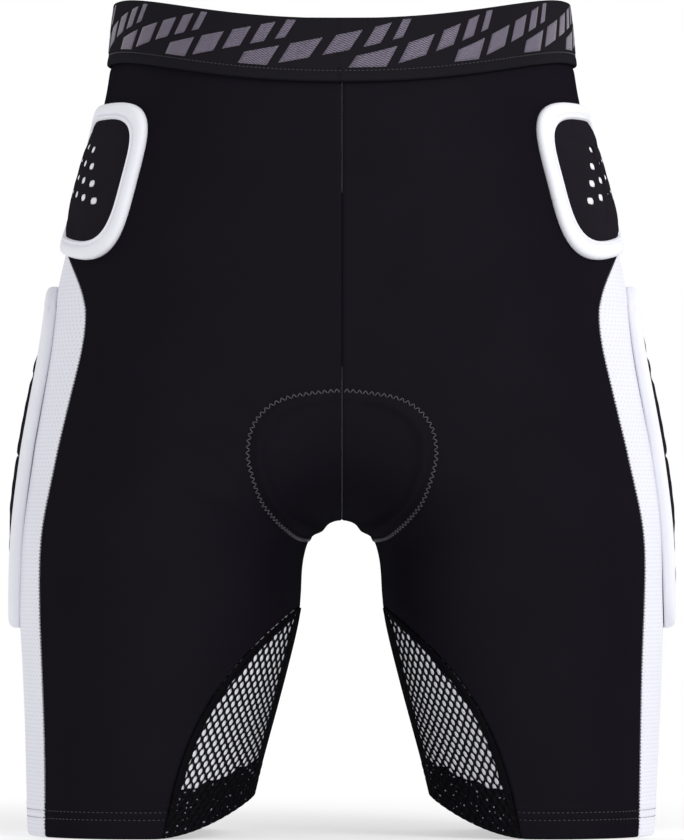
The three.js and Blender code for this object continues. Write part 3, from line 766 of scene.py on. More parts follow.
def gusset_point(across, z, offset):
    """A point of the mesh gusset: across in mm of net from the inner thigh, z above the hem."""
    angle = np.interp(across / gusset_radius(z), stretched(ANGLES), ANGLES)
    azimuth = azimuth_from_inner(z, -angle)
    p = surface(lifted(z, azimuth), azimuth)
    return p + normals(p) * np.asarray(offset)[..., None]


def gusset_front(z):
    """Where the gusset's front edge lies across the net, and how far it slants for each mm of height."""
    def across(height):
        return stretched(gusset_reach(height, -1)) * gusset_radius(height)
    step = 0.5
    return across(z), (across(np.minimum(z + step, GUSSET_TOP)) - across(z - step)) / (2 * step)


def net_sag(across, z):
    """The net lies level with the cloth, and dips where the front panel's edge covers it."""
    edge, slant = gusset_front(np.minimum(z, GUSSET_TOP - 0.5))
    inside = (edge - across) / np.sqrt(1 + slant**2)
    return 0.05 - 1.9 * (1 - smoothstep(inside, -0.5, 2.5))


def net(suffix, mirrored):
    """Knitted net with real oval holes in staggered rows."""
    corners = 12
    turn = 2 * np.pi * np.arange(corners) / corners
    # The cell's own outline, six-sided so that staggered rows close up, with a point at each corner and mid-side.
    c, s = np.cos(turn), np.sin(turn)
    flat = CELL_ACROSS / 2 / np.maximum(np.abs(c), 1e-6)
    slope = CELL_ACROSS / (4 * CELL_UP)
    slanted = (CELL_UP / 2 + CELL_UP * slope * slope) / np.maximum(np.abs(s) + slope * np.abs(c), 1e-6)
    outline = np.stack([c, s], -1) * np.minimum(flat, slanted)[:, None]
    hole = np.stack([HOLE_ACROSS * c, HOLE_UP * s], -1)
    points, faces, seen = [], [], {}

    def vertex(across, z, height):
        key = (round(across, 2), round(z, 2), height)
        if key not in seen:
            seen[key] = len(points)
            points.append((across, z, height))
        return seen[key]

    rows = int(GUSSET_TOP / CELL_UP)
    for row in range(rows):
        z = 1.6 + CELL_UP * (row + 0.5)
        edge, slant = gusset_front(min(z, GUSSET_TOP - 2.0))
        start = stretched(min(TAPE_FRONT, 0.45 * float(gusset_reach(z, -1)))) * gusset_radius(z) - 2.5
        for column in range(40):
            across = CELL_ACROSS * (column + 0.5 * (row % 2))
            inside = (edge - across) / math.sqrt(1 + slant**2)
            if across < start - 2.0 or inside < -1.5 or z > GUSSET_TOP - 3:
                continue
            outer = outline + (across, z)
            ring = hole + (across, z)
            for k in range(corners):
                j = (k + 1) % corners
                loop = [(outer[k], outer[j], STRAND), (ring[k], ring[j], STRAND * 0.35),
                        (ring[k], ring[j], -STRAND * 0.6), (outer[k], outer[j], -STRAND)]
                for (a, b, h), (e, f, g) in zip(loop, loop[1:]):
                    faces.append((vertex(*a, h), vertex(*b, h), vertex(*f, g), vertex(*e, g)))
    flat_points = np.array(points)
    across, z, height = flat_points.T
    placed = gusset_point(across, z, net_sag(across, z) + height)
    piece = make(f"gusset_net{suffix}", placed, close_rim(faces), mirrored, [BLACK_NET], flat_points[:, :2])
    return put(swing(piece), replaces=(f"mesh_gusset{suffix}",))


def close_rim(faces):
    """Leaves a net of cells watertight: the open edges of its upper and lower sheets are joined by a wall."""
    edges = {}
    for face in faces:
        for a, b in zip(face, face[1:] + face[:1]):
            edges[(a, b)] = edges.get((a, b), 0) + 1
    loose = [(a, b) for (a, b) in edges if (b, a) not in edges]
    return faces + wall_between(faces, loose)


def wall_between(faces, loose):
    partner = {}
    for i in range(0, len(faces), 3):
        top, _, low = faces[i:i + 3]
        partner[top[0]], partner[top[1]] = low[3], low[2]
    return [(b, a, partner[a], partner[b]) for a, b in loose if a in partner and b in partner]


def gusset_tape(suffix, mirrored):
    """Solid strip along the inseam, from the front edge of its turning to the back panel."""
    z = np.concatenate([GUSSET_TOP - np.array((1.5, 3, 5, 8)), np.linspace(GUSSET_TOP - 12, HEM_FOLD + 6, 40),
                        hem_rows()])
    first = azimuth_from_inner(z, -np.minimum(TAPE_FRONT, 0.45 * gusset_reach(z, -1)))
    last = azimuth_from_inner(z, gusset_reach(z, 1))
    first = np.where(first < 0, first + 2 * np.pi, first)
    grid, edge, uv, _ = spread(z, first, last, 10)
    n = normals(grid)
    points = grid + n * (seam_valley(edge) + 0.5)[..., None] + n * (0.6 * hem_relief(z))[:, None, None]
    points, uv = with_hem(points, n, uv)
    tape = shell(f"gusset_tape{suffix}", points, mirrored, [BLACK_TAPE], uv, 0.9)
    return put(swing(tape), replaces=(f"mesh_gusset{suffix}",))


def gusset_binding(suffix, mirrored):
    """Strip sewn over the net's front edge, with a soft rolled profile."""
    z = np.concatenate([np.linspace(HEM_ROLL, 110, 60), GUSSET_TOP - 1.5 - 31 * np.linspace(1, 0, 34) ** 1.7])
    edge, slant = gusset_front(z)
    wide = np.minimum(BINDING * np.sqrt(1 + slant**2), edge * 0.5 + 0.3)
    t = np.linspace(0, 1, 12)
    across = edge[:, None] - wide[:, None] * (1 - t)
    ripple = 0.35 * np.sin(z / 2.1)[:, None] * (1 - t) ** 3
    lift = 0.95 * (1 - np.abs(2 * t - 1) ** 5) - 0.25
    points = gusset_point(across + ripple, np.broadcast_to(z[:, None], across.shape), lift + 0 * across)
    uv = np.stack([across, np.broadcast_to(z[:, None], across.shape)], -1)
    strip = shell(f"gusset_binding{suffix}", points, mirrored, [BLACK_TAPE], uv, 0.5)
    return put(swing(strip), replaces=(f"mesh_gusset{suffix}",))


def gusset_hem(suffix, mirrored):
    """The net turned up at the hem: a second layer with an uneven top edge, rolled at the bottom."""
    columns = 110
    first = stretched(TAPE_FRONT) * gusset_radius(0.0) - 1.0
    last = gusset_front(3.0)[0] + 1.0
    across = np.linspace(first, last, columns)
    top = GUSSET_HEM + 0.9 * np.sin(across / 3.1) + 0.5 * np.sin(across / 1.7)
    share = np.linspace(1, 0, 36)[:, None]
    z = HEM_ROLL + (top - HEM_ROLL) * share
    knots = 0.5 * np.cos(across * 2 * np.pi / CELL_ACROSS) * np.cos(z * np.pi / CELL_UP)
    points = gusset_point(np.broadcast_to(across, z.shape), z, 0.75 + knots - 0.5 * share**14)
    uv = np.stack([np.broadcast_to(across, z.shape), z], -1)
    points, uv = with_hem(points, normals(points), uv)
    band = shell(f"gusset_hem{suffix}", points, mirrored, [NET_HEM], uv, 0.7)
    return put(swing(band), replaces=(f"mesh_gusset{suffix}",))


def gusset_liner(suffix, mirrored):
    """Pale lining close behind the net."""
    z = np.concatenate([np.linspace(GUSSET_HEM - 3, 112, 34), np.linspace(114, GUSSET_TOP - 3, 12)])
    edge, _ = gusset_front(z)
    start = stretched(np.minimum(TAPE_FRONT, 0.45 * gusset_reach(z, -1))) * gusset_radius(z) * 0.7
    share = np.linspace(0, 1, 26)
    across = start[:, None] + (np.maximum(edge + 3 - start, 1.0))[:, None] * share
    height = np.broadcast_to(z[:, None], across.shape)
    points = gusset_point(across, height, net_sag(across, height) - STRAND - 0.25)
    liner = shell(f"gusset_liner{suffix}", points, mirrored, [PALE_LINING], np.stack([across, height], -1), 0.6)
    return put(swing(liner), replaces=(f"mesh_gusset{suffix}",))


# ---------------------------------------------------------------- inside the hems


def hem_ring(name, low, high, deep, thickness, material, suffix, mirrored, leg):
    angle = np.linspace(-np.pi, np.pi, 140, endpoint=False)
    azimuth = azimuth_of(0.0, angle)
    z = np.linspace(high, low, 10)[:, None]
    azimuth = np.broadcast_to(azimuth, (10, len(angle)))
    p = surface(lifted(z + 0 * azimuth, azimuth), azimuth)
    p = p - normals(p) * deep
    uv = np.stack(np.broadcast_arrays(angle * 75, z), -1)
    ring = shell(f"{name}_ring{suffix}", p, mirrored, [material], uv, thickness, wrapped=True)
    return put(ring, leg, (f"{name}{suffix}",))


def hem_inside(suffix, mirrored, leg):
    hem_ring("hem_facing", 2.6, HEM_FOLD, 3.7, 0.8, BLACK_KNIT, suffix, mirrored, leg)
    hem_ring("hem_elastic", 6.5, HEM_FOLD - 5, 2.1, 0.9, HEM_ELASTIC, suffix, mirrored, leg)


# ---------------------------------------------------------------- waistband

BAND_THICKNESS = 2.3
BAND_AROUND = 420
STITCH_LINE = BAND_HEIGHT - 6.5
BAND_LENGTH = 812.0


def band_point(turn, v, lift):
    """A point of the waistband: turn 0 to 1 round the body from the centre front, v mm below its top edge."""
    share = 1 - np.abs(2 * turn - 1)

    def direction(z):
        return seam_azimuth(z, -1) + (seam_azimuth(z, 1) - seam_azimuth(z, -1)) * share

    z = HEIGHT - waist_dip(direction(np.full(np.shape(share), HEIGHT))) - v
    p = surface(z, direction(z))
    p = p + normals(p) * np.asarray(lift)[..., None]
    p[..., 0] = np.where((share > 1 - 1e-9) | (share < 1e-9), 0, p[..., 0])
    p[..., 0] *= np.where(turn > 0.5, -1, 1)
    return p


def band_crown(v):
    """Height of the band's face above the body surface, v mm below its top edge."""
    return (BAND_THICKNESS - 0.2 + 0.35 * np.sin(np.pi * v / BAND_HEIGHT)
            - 0.55 * bump(v, STITCH_LINE, 0.9) + 0.25 * bump(v, BAND_HEIGHT - 2, 1.6))


def waistband():
    """Folded elastic: round at its top edge, with a free edge and a stitched tuck at the bottom."""
    r = BAND_THICKNESS / 2
    round_top = np.radians(np.linspace(-90, 90, 9))
    face = np.linspace(2.2, BAND_HEIGHT - 0.5, 34)
    behind = np.linspace(BAND_HEIGHT - 3, 2.5, 8)
    v = np.concatenate([r - r * np.cos(round_top), face, (BAND_HEIGHT, BAND_HEIGHT, BAND_HEIGHT - 0.5), behind])
    lift = np.concatenate([r + r * np.sin(round_top) - 0.2, band_crown(face), (BAND_THICKNESS - 0.7, 0.3, -0.2),
                           np.full(len(behind), -0.2)])
    turn = np.arange(BAND_AROUND) / BAND_AROUND
    shape = (len(v), BAND_AROUND)
    grid = band_point(np.broadcast_to(turn, shape), np.broadcast_to(v[:, None], shape), lift[:, None])
    uv = np.stack(np.broadcast_arrays(turn * BAND_LENGTH, -v[:, None]), -1)
    faces = closed_ring_faces(*shape)
    band = make("waistband_elastic", grid, faces, False, [BAND], uv)
    return put(band, "hips", ("waistband",))


def closed_ring_faces(rows, columns):
    """Faces of a grid that closes on itself both ways. Its rows run round the section."""
    faces = []
    for r in range(rows):
        s = (r + 1) % rows
        for c in range(columns):
            d = (c + 1) % columns
            faces.append((s * columns + c, s * columns + d, r * columns + d, r * columns + c))
    return faces


MARK_WIDTHS = (18, 14, 10.5, 7.5, 5)
MARK_GAP = 5.5
MARK_HEIGHT = 12.5
MARK_RISE = 0.3  # the marks climb this much for each mm along the band
MARK_LEAN = 0.45  # and lean this much over their own height
MARK_LOW, MARK_TOP = STITCH_LINE - 1.8, 1.9
MARK_REPEATS = 16
MARK_FOOT = 36  # the first bar's foot, below the top edge


def mark_grid(start, foot, width):
    """One slanting bar, cut off at the band's own edges. Returns places along and down, or None if nothing is left."""
    p = np.linspace(0, width, 7)
    base = foot - MARK_RISE * p
    low = np.maximum(0, base - MARK_LOW)
    high = np.minimum(MARK_HEIGHT, base - MARK_TOP)
    kept = high - low > 0.8
    if kept.sum() < 2:
        return None
    p, base, low, high = (values[kept] for values in (p, base, low, high))
    q = low + (high - low) * np.linspace(0, 1, 6)[:, None]
    return start + p + MARK_LEAN * q, base - q


def waistband_marks():
    """Woven slanting bars, widest first, in lanes that climb across the band and are cut by its edges."""
    points, faces, cloth = [], [], []
    for repeat in range(MARK_REPEATS):
        place = repeat * BAND_LENGTH / MARK_REPEATS
        foot = MARK_FOOT
        for width in MARK_WIDTHS:
            bar = mark_grid(place, foot, width)
            place += width + MARK_GAP
            foot -= MARK_RISE * (width + MARK_GAP)
            if bar is None:
                continue
            along, down = bar
            turn = (along / BAND_LENGTH) % 1.0
            first = len(points)
            for lift in (0.14, -0.15):
                points.extend(band_point(turn, down, band_crown(down) + lift).reshape(-1, 3))
                cloth.extend(np.stack([along, -down], -1).reshape(-1, 2))
            faces.extend(slab_faces(*along.shape, first))
    marks = make("waistband_weave", np.array(points), faces, False, [MARKS], np.array(cloth))
    return put(marks, "hips", ("waistband",))


def slab_faces(rows, columns, first):
    """Faces of a thin slab: a grid of its upper points, then the same grid of its lower points."""
    count = rows * columns
    faces = grid_faces(rows, columns, first) + grid_faces(rows, columns, first + count, flipped=True)
    for c in range(columns - 1):
        a, b = first + c, first + c + 1
        faces.append((b, a, a + count, b + count))
        a, b = first + (rows - 1) * columns + c, first + (rows - 1) * columns + c + 1
        faces.append((a, b, b + count, a + count))
    for r in range(rows - 1):
        a, b = first + r * columns, first + (r + 1) * columns
        faces.append((a, b, b + count, a + count))
        a, b = first + r * columns + columns - 1, first + (r + 1) * columns + columns - 1
        faces.append((b, a, a + count, b + count))
    return faces


# ---------------------------------------------------------------- pads

# As in the frame: sizes are half sizes along the surface, arc is how far behind the body's side the middle lies, and
# lean is how far the outline tips back for each mm of height, and taper how much its lower edge rises to the rear.
# holes holds columns, rows, pitch and the middle's place. shear is how far the columns tip back and the rows rise.
PADS = {
    "hip_pad": dict(z=408, arc=-35.5, half=(50.5, 47.5), lean=-0.12, taper=0.155, rim=11, rim_height=5, crown=7.5,
                    holes=(5, 5, 10.8, (8.5, 11.6)), shear=(0.45, 0.22)),
    "thigh_pad": dict(z=236, arc=12, half=(38, 107), lean=0, taper=0, rim=10, rim_height=7, crown=8.5,
                      holes=(3, 11, 12.5, (0.0, 0.0)), shear=(0, 0)),
    "tailbone_pad": dict(z=352, arc=0, half=(44, 56), lean=0, taper=0, rim=11, rim_height=5, crown=7.5,
                         holes=(3, 5, 12.0, (0.0, 0.0)), shear=(0, 0)),
}
SQUARENESS = 3.8
COVER_SKIN = 1.3
WINDOW = (3.2, 2.2)  # half sizes of a cover's small windows


def on_side(pad):
    """Turns distances along the side of the body into places, measured at the pad's own middle height."""
    azimuth = np.radians(np.arange(-120, 120.1, 0.5))
    line = surface(np.full(azimuth.shape, float(pad["z"])), azimuth)
    reach = np.concatenate([[0], np.cumsum(np.linalg.norm(np.diff(line, axis=0), axis=-1))])
    reach -= np.interp(0, azimuth, reach)

    def place(u, v, offset):
        direction = np.interp(pad["arc"] + u, reach, azimuth)
        p = surface(pad["z"] + v, direction)
        return p + normals(p) * np.asarray(offset)[..., None]

    return place


def on_back(pad):
    def place(u, v, offset):
        u, z = np.broadcast_arrays(-np.asarray(u, float), pad["z"] + np.asarray(v, float))
        y = crossing(lambda d: outside(u, d, z), np.zeros(z.shape), np.full(z.shape, float(REACH)))
        p = np.stack([u, y, z], -1)
        return p + normals(p) * np.asarray(offset)[..., None]

    return place


def outline(pad, turn, inset):
    """A point of the pad's outline shrunk by inset."""
    c, s = np.cos(turn), np.sin(turn)
    r = (np.abs(c) ** SQUARENESS + np.abs(s) ** SQUARENESS) ** (-1 / SQUARENESS)
    u = (pad["half"][0] - inset) * r * c
    v = (pad["half"][1] - inset) * r * s * (1 - np.where(s < 0, pad["taper"] * r * c, 0))
    return u + pad["lean"] * v, v


def pad_rim(name, pad, place, suffix, mirrored):
    """Moulded rim: rounded over, with a groove and a bead beside the cover."""
    rim, height = pad["rim"], pad["rim_height"]
    a = np.linspace(0, np.pi, 30)
    inset = rim / 2 * (1 - np.sign(np.cos(a)) * np.abs(np.cos(a)) ** 0.75)
    lift = height * np.sin(a) ** 0.6 * (1 - 0.3 * bump(inset, 0.7 * rim, 0.07 * rim))
    lift = lift + 0.1 * height * bump(inset, 0.83 * rim, 0.08 * rim) + 0.1
    foot = np.linspace(0.95 * rim, 0.05 * rim, 4)
    inset = np.concatenate([inset, foot])[:, None]
    lift = np.concatenate([lift, np.full(4, 0.05)])[:, None]
    turn = np.linspace(0, 2 * np.pi, 200, endpoint=False)[None, :]
    u, v = outline(pad, turn, inset)
    points = place(u, v, lift + 0 * u)
    uv = np.stack(np.broadcast_arrays(turn * 60, inset), -1)
    piece = make(f"{name}_ring{suffix}", points, closed_ring_faces(*u.shape), mirrored, [RIM], uv)
    return piece


def crown_height(pad, rho):
    low = pad["rim_height"] - 1.9
    return low + (pad["crown"] - low) * (1 - rho**2.4)


def dome(name, pad, place, inset, top, under, suffix, mirrored, material, rings=26, around=120):
    """A closed cushion inside the rim. top and under give its two faces, by rho: 0 in the middle, 1 at the edge."""
    turn = np.linspace(0, 2 * np.pi, around, endpoint=False)
    rho = np.linspace(0, 1, rings + 1)[1:]
    u, v = outline(pad, turn[None, :], inset)
    u, v = u * rho[:, None], v * rho[:, None]
    layers = []
    for face in (top, under):
        middle = place(np.zeros(1), np.zeros(1), np.array([face(0.0, 0.0, 0.0)]))
        layers.append(np.concatenate([middle, place(u, v, face(rho[:, None], u, v)).reshape(-1, 3)]))
    points = np.concatenate(layers)
    count = len(layers[0])
    faces = []
    for k in range(around):
        j = (k + 1) % around
        faces.append((0, 1 + k, 1 + j))
        faces.append((count, count + 1 + j, count + 1 + k))
        for r in range(rings - 1):
            a, b = 1 + r * around, 1 + (r + 1) * around
            faces.append((a + k, b + k, b + j, a + j))
            faces.append((count + a + j, count + b + j, count + b + k, count + a + k))
        a = 1 + (rings - 1) * around
        faces.append((a + k, count + a + k, count + a + j, a + j))
    flat = np.concatenate([[(0, 0)], np.stack([u, v], -1).reshape(-1, 2)])
    return make(f"{name}{suffix}", points, faces, mirrored, [material], np.concatenate([flat, flat]))


def hole_places(pad):
    """Middles of the cover's small windows: a grid without its top front corner, kept clear of the rim."""
    columns, rows, pitch, (u0, v0) = pad["holes"]
    tip, rise = pad["shear"]
    room = [half - pad["rim"] - 5.5 for half in pad["half"]]
    places = []
    for row in range(rows):
        for column in range(columns):
            across = (column - (columns - 1) / 2) * pitch
            v = v0 + (row - (rows - 1) / 2) * pitch + rise * across
            u = u0 + across + tip * v
            clear = abs((u - pad["lean"] * v) / room[0]) ** SQUARENESS + abs(v / room[1]) ** SQUARENESS < 1
            front_corner = columns > 3 and row == rows - 1 and column == 0
            if clear and not front_corner:
                places.append((u, v))
    return np.array(places)


def near_windows(pad, u, v, reach):
    """1 in the middle of every window, falling away over reach, in half sizes of a window."""
    total = 0 * (u + v)
    for hu, hv in hole_places(pad):
        total = total + np.exp(-(((u - hu) / WINDOW[0]) ** 2 + ((v - hv) / WINDOW[1]) ** 2) / reach**2)
    return total


def punch(cover, pad, place, mirrored):
    """Cuts the cover's windows: rounded squares, right through."""
    corners = 12
    turn = 2 * np.pi * (np.arange(corners) + 0.5) / corners
    c, s = np.cos(turn), np.sin(turn)
    r = (np.abs(c) ** 4 + np.abs(s) ** 4) ** -0.25
    points, faces = [], []
    for hu, hv in hole_places(pad):
        first = len(points)
        for lift in (-1.5, pad["crown"] + 4):
            points.extend(place(hu + WINDOW[0] * r * c, hv + WINDOW[1] * r * s, np.full(corners, lift)))
        faces.append(tuple(first + k for k in range(corners))[::-1])
        faces.append(tuple(first + corners + k for k in range(corners)))
        for k in range(corners):
            j = (k + 1) % corners
            faces.append((first + k, first + j, first + corners + j, first + corners + k))
    tool = make("punch", np.array(points), faces, mirrored, [])
    cut = cover.modifiers.new("windows", "BOOLEAN")
    cut.operation = "DIFFERENCE"
    cut.solver = "EXACT"
    cut.object = tool
    apply_modifiers(cover)
    bpy.data.objects.remove(tool)


def apply_modifiers(obj):
    graph = bpy.context.evaluated_depsgraph_get()
    final = bpy.data.meshes.new_from_object(obj.evaluated_get(graph))
    obj.modifiers.clear()
    obj.data = final


CLOTH_FRAMES = 20


def settle(obj, pinned, limit, pressure=4.0):
    """A short cloth run that lets a skin fill out over its cushion, held at its border and within limit mm."""
    group = obj.vertex_groups.new(name="held")
    group.add([int(i) for i in pinned], 1.0, "REPLACE")
    start = coordinates(obj.data)
    cloth = obj.modifiers.new("cloth", "CLOTH")
    cloth.settings.quality = 6
    cloth.settings.mass = 0.15
    cloth.settings.vertex_group_mass = "held"
    cloth.settings.use_pressure = True
    cloth.settings.uniform_pressure_force = pressure
    cloth.settings.effector_weights.gravity = 0
    cloth.settings.shrink_min = -0.03
    cloth.collision_settings.use_collision = False
    cloth.point_cache.frame_start = 1
    cloth.point_cache.frame_end = CLOTH_FRAMES
    for step in range(1, CLOTH_FRAMES + 1):
        bpy.context.scene.frame_set(step)
    graph = bpy.context.evaluated_depsgraph_get()
    moved = coordinates(obj.evaluated_get(graph).data) - start
    obj.modifiers.clear()
    bpy.context.scene.frame_set(1)
    size = np.linalg.norm(moved, axis=-1, keepdims=True)
    moved = moved * np.minimum(1, limit * MM / np.maximum(size, 1e-9))
    obj.data.vertices.foreach_set("co", (start + moved).astype(np.float32).ravel())
    obj.data.update()
    obj.vertex_groups.clear()


def coordinates(mesh):
    co = np.zeros(len(mesh.vertices) * 3, np.float32)
    mesh.vertices.foreach_get("co", co)
    return co.reshape(-1, 3).astype(float)


def pad(name, suffix, mirrored, leg=None):
    shape = PADS[name]
    place = on_back(shape) if name == "tailbone_pad" else on_side(shape)
    rim = pad_rim(name, shape, place, suffix, mirrored)

    def skin_top(rho, u, v):
        return crown_height(shape, rho) - 0.4 * near_windows(shape, u, v, 1.5)

    def core_top(rho, u, v):
        return skin_top(rho, u, v) - COVER_SKIN - 0.15 - 0.3 * rho**4 + 1.2 * near_windows(shape, u, v, 0.75)

    cover = dome(f"{name}_skin", shape, place, shape["rim"] - 0.7, skin_top,
                 lambda rho, u, v: skin_top(rho, u, v) - COVER_SKIN, suffix, mirrored, COVER)
    rings, around = 26, 120
    count = 1 + rings * around
    edge = np.arange(1 + (rings - 2) * around, count)
    lower = np.arange(count, 2 * count)
    settle(cover, np.concatenate([edge, lower]), 0.5)
    punch(cover, shape, place, mirrored)
    core = dome(f"{name}_core", shape, place, shape["rim"] - 0.3,
                core_top, lambda rho, u, v: 0.3 + 0 * (rho + u), suffix, mirrored, FOAM)
    for piece, slot, node in ((rim, "white_pad_rim", "rim"), (cover, "black_pad_cover", "cover"),
                              (core, "white_foam", "foam")):
        if leg:
            put(swing(piece), replaces=(f"{name}_{node}{suffix}",))
        else:
            put(piece, "hips", (f"{name}_{node}{suffix}",))


# ---------------------------------------------------------------- seat pad


def seat_point(x, degrees, deep):
    """A place of the seat pad: x from the middle, an angle round the crotch, and a depth inside the cloth."""
    x, degrees = np.broadcast_arrays(x, degrees)
    a = np.radians(degrees)
    d = crossing(lambda r: outside(x, -r * np.cos(a), SEAT_EYE_Z - r * np.sin(a)),
                 np.zeros(a.shape), np.full(a.shape, float(REACH)))
    p = np.stack([x, -d * np.cos(a), SEAT_EYE_Z - d * np.sin(a)], -1)
    return p - normals(p) * np.asarray(deep)[..., None]


def seat_layer(name, near, thickness, material, node, suffix, mirrored):
    """Half of one layer of the seat pad, crowned in the middle and thin at its edge."""
    degrees = np.linspace(1.2, 181.5, 84)[:, None]
    share = np.concatenate([np.linspace(0, 0.85, 12), (0.9, 0.94, 0.97, 0.985)])
    width = seat_half_width(degrees) - 1.5
    x = 0.1 + (width - 0.1) * share
    ends = smoothstep(degrees, 1, 9) * (1 - smoothstep(degrees, 174, 182))
    crown = np.sqrt(np.maximum(1 - share**4, 0.02)) * (0.12 + 0.88 * ends)
    channel = bump(x, 17, 3.0) * ends * smoothstep(degrees, 20, 60)
    deep = near * (0.35 + 0.65 * crown) + 0 * x
    points = seat_point(x, degrees + 0 * x, deep)
    uv = np.stack([x, 2.2 * degrees + 0 * x], -1)
    thick = thickness * np.clip(crown - 0.3 * channel, 0.12, 1) if thickness > 2 else thickness + 0 * x
    half = shell(f"{name}{suffix}", points, mirrored, [material], uv, thick)
    rows, columns = points.shape[:2]
    index = np.arange(rows * columns).reshape(rows, columns)
    held = np.concatenate([index[:3].ravel(), index[-3:].ravel(), index[:, 0], index[:, -3:].ravel()])
    settle(half, np.concatenate([held, held + rows * columns]), 0.8)
    return put(swing(half), replaces=(node,))


def seat_pad(suffix, mirrored):
    seat_layer("seat_foam", 3.2, 6.0, FOAM, "seat_pad_foam", suffix, mirrored)
    seat_layer("seat_cover", 9.6, 1.0, SEAT_LINING, "seat_pad_cover", suffix, mirrored)


# ---------------------------------------------------------------- stitching


def stitch_ends(points, out, pitch, length, zigzag=0.0):
    """The two ends and the outward direction of every stitch along a line of points."""
    run = np.concatenate([[0], np.cumsum(np.linalg.norm(np.diff(points, axis=0), axis=-1))])
    start = np.arange(pitch / 2, run[-1] - length, pitch)

    def along(values, d):
        return np.stack([np.interp(d, run, values[:, i]) for i in range(3)], -1)

    a, b, n = along(points, start), along(points, start + length), along(out, start + length / 2)
    if zigzag:
        across = np.cross(n, b - a)
        across /= np.linalg.norm(across, axis=-1, keepdims=True)
        way = zigzag * np.where(np.arange(len(a)) % 2, 1, -1)[:, None]
        a, b = a + across * way, b - across * way
    return a, b, n


def stitch_mesh(a, b, n, width, proud):
    """A small rounded thread for each stitch, its ends sunk into the cloth."""
    places = np.array((0, 0.1, 0.3, 0.7, 0.9, 1.0))
    girth = np.array((0.3, 0.75, 1, 1, 0.75, 0.3))
    rise = np.array((-0.5, 0.35, 1, 1, 0.35, -0.5)) * proud
    sides = 6
    turn = 2 * np.pi * np.arange(sides) / sides
    across = np.cross(n, b - a)
    across /= np.linalg.norm(across, axis=-1, keepdims=True)
    middle = a[:, None] + (b - a)[:, None] * places[None, :, None] + n[:, None] * rise[None, :, None]
    ring = (across[:, None, None] * np.cos(turn)[None, None, :, None]
            + 0.8 * n[:, None, None] * np.sin(turn)[None, None, :, None])
    points = middle[:, :, None] + ring * (girth * width / 2)[None, :, None, None]
    each = len(places) * sides
    pattern = []
    for r in range(len(places) - 1):
        for k in range(sides):
            j = (k + 1) % sides
            pattern.append((r * sides + k, r * sides + j, (r + 1) * sides + j, (r + 1) * sides + k))
    caps = [tuple(range(sides))[::-1], tuple(range(each - sides, each))]
    faces = [tuple(first + k for k in face) for first in range(0, len(a) * each, each) for face in pattern + caps]
    return points.reshape(-1, 3), faces


def sew(name, lines, width, proud, material, mirrored, leg):
    """One piece holding every stitch of some seams. lines holds (points, out, pitch, length, zigzag) for each."""
    points, faces = np.zeros((0, 3)), []
    for line in lines:
        made, polygons = stitch_mesh(*stitch_ends(*line), width, proud)
        faces += [tuple(len(points) + k for k in polygon) for polygon in polygons]
        points = np.concatenate([points, made])
    piece = make(name, points, faces, mirrored, [material], points[:, [0, 2]])
    if leg:
        return put(swing(piece))
    return put(piece, "hips")


def on_cloth(z, azimuth, mirrored, extra=0.0):
    """A line of points on the cloth's own face, with its relief."""
    p = surface(lifted(z, azimuth), azimuth)
    n = normals(p)
    return p + n * (relief(signed(p, mirrored)) + extra)[..., None], n


def seat_stitches(suffix, mirrored, leg):
    degrees = np.concatenate([np.linspace(-0.97, 4, 260), np.linspace(4, 176, 500)[1:], np.linspace(176, 184, 200)[1:]])
    across = seat_half_width(degrees)
    across[[0, -1]] = 0.3
    p = seat_point(across, degrees, 0 * degrees)
    n = normals(p)
    p = p + n * (relief(signed(p, mirrored)) + 0.4)[:, None]
    sew(f"seat_stitching{suffix}", [(p, n, 1.9, 1.75, 1.3)], 0.62, 0.35, GREY_THREAD,
        mirrored, leg)


def hem_stitches(suffix, mirrored, leg):
    lines = []
    for height in HEM_LINES:
        first = float(azimuth_from_inner(height, -gusset_reach(height, -1)))
        last = float(azimuth_from_inner(height, gusset_reach(height, 1)))
        azimuth = np.linspace(first, last, 500)
        p, n = on_cloth(np.full(500, height), azimuth, mirrored, -0.25)
        lines.append((p, n, 3.0, 2.3))
    sew(f"hem_stitching{suffix}", lines, 0.6, 0.3, DARK_THREAD, mirrored, leg)


def side_stitches(suffix, mirrored, leg):
    lines = []
    for way in (-1, 1):
        z = np.concatenate([np.linspace(4, HIP_Z, 300),
                            HIP_Z + HIP_DISC * np.sin(np.linspace(0, np.pi / 2 - 0.02, 160))[1:]])
        p, n = on_cloth(z, side_edge(z, way), mirrored, -0.35)
        lines.append((p, n, 2.1, 1.5))
    sew(f"side_stitching{suffix}", lines, 0.75, 0.35, DARK_THREAD, mirrored, leg)


def waist_stitches():
    turn = np.linspace(0.0001, 0.9999, 2400)
    v = np.full(turn.shape, STITCH_LINE)
    p = band_point(turn, v, band_crown(v) - 0.05)
    out = (band_point(turn, v, band_crown(v) + 0.95) - p)
    sew("waistband_stitching", [(p, out, 2.6, 1.9)], 0.5, 0.3, DARK_THREAD, False, None)


# ---------------------------------------------------------------- building

for suffix, mirrored, leg in SIDES:
    body_panel(-1, suffix, mirrored)
    body_panel(1, suffix, mirrored)
    side_panel(suffix, mirrored)
    net(suffix, mirrored)
    gusset_tape(suffix, mirrored)
    gusset_binding(suffix, mirrored)
    gusset_hem(suffix, mirrored)
    gusset_liner(suffix, mirrored)
    hem_inside(suffix, mirrored, leg)
    pad("hip_pad", suffix, mirrored)
    pad("thigh_pad", suffix, mirrored, leg)
    seat_pad(suffix, mirrored)
    seat_stitches(suffix, mirrored, leg)
    hem_stitches(suffix, mirrored, leg)
    side_stitches(suffix, mirrored, leg)
waistband()
waistband_marks()
waist_stitches()
pad("tailbone_pad", "", False)

# ---------------------------------------------------------------- stage, light and camera


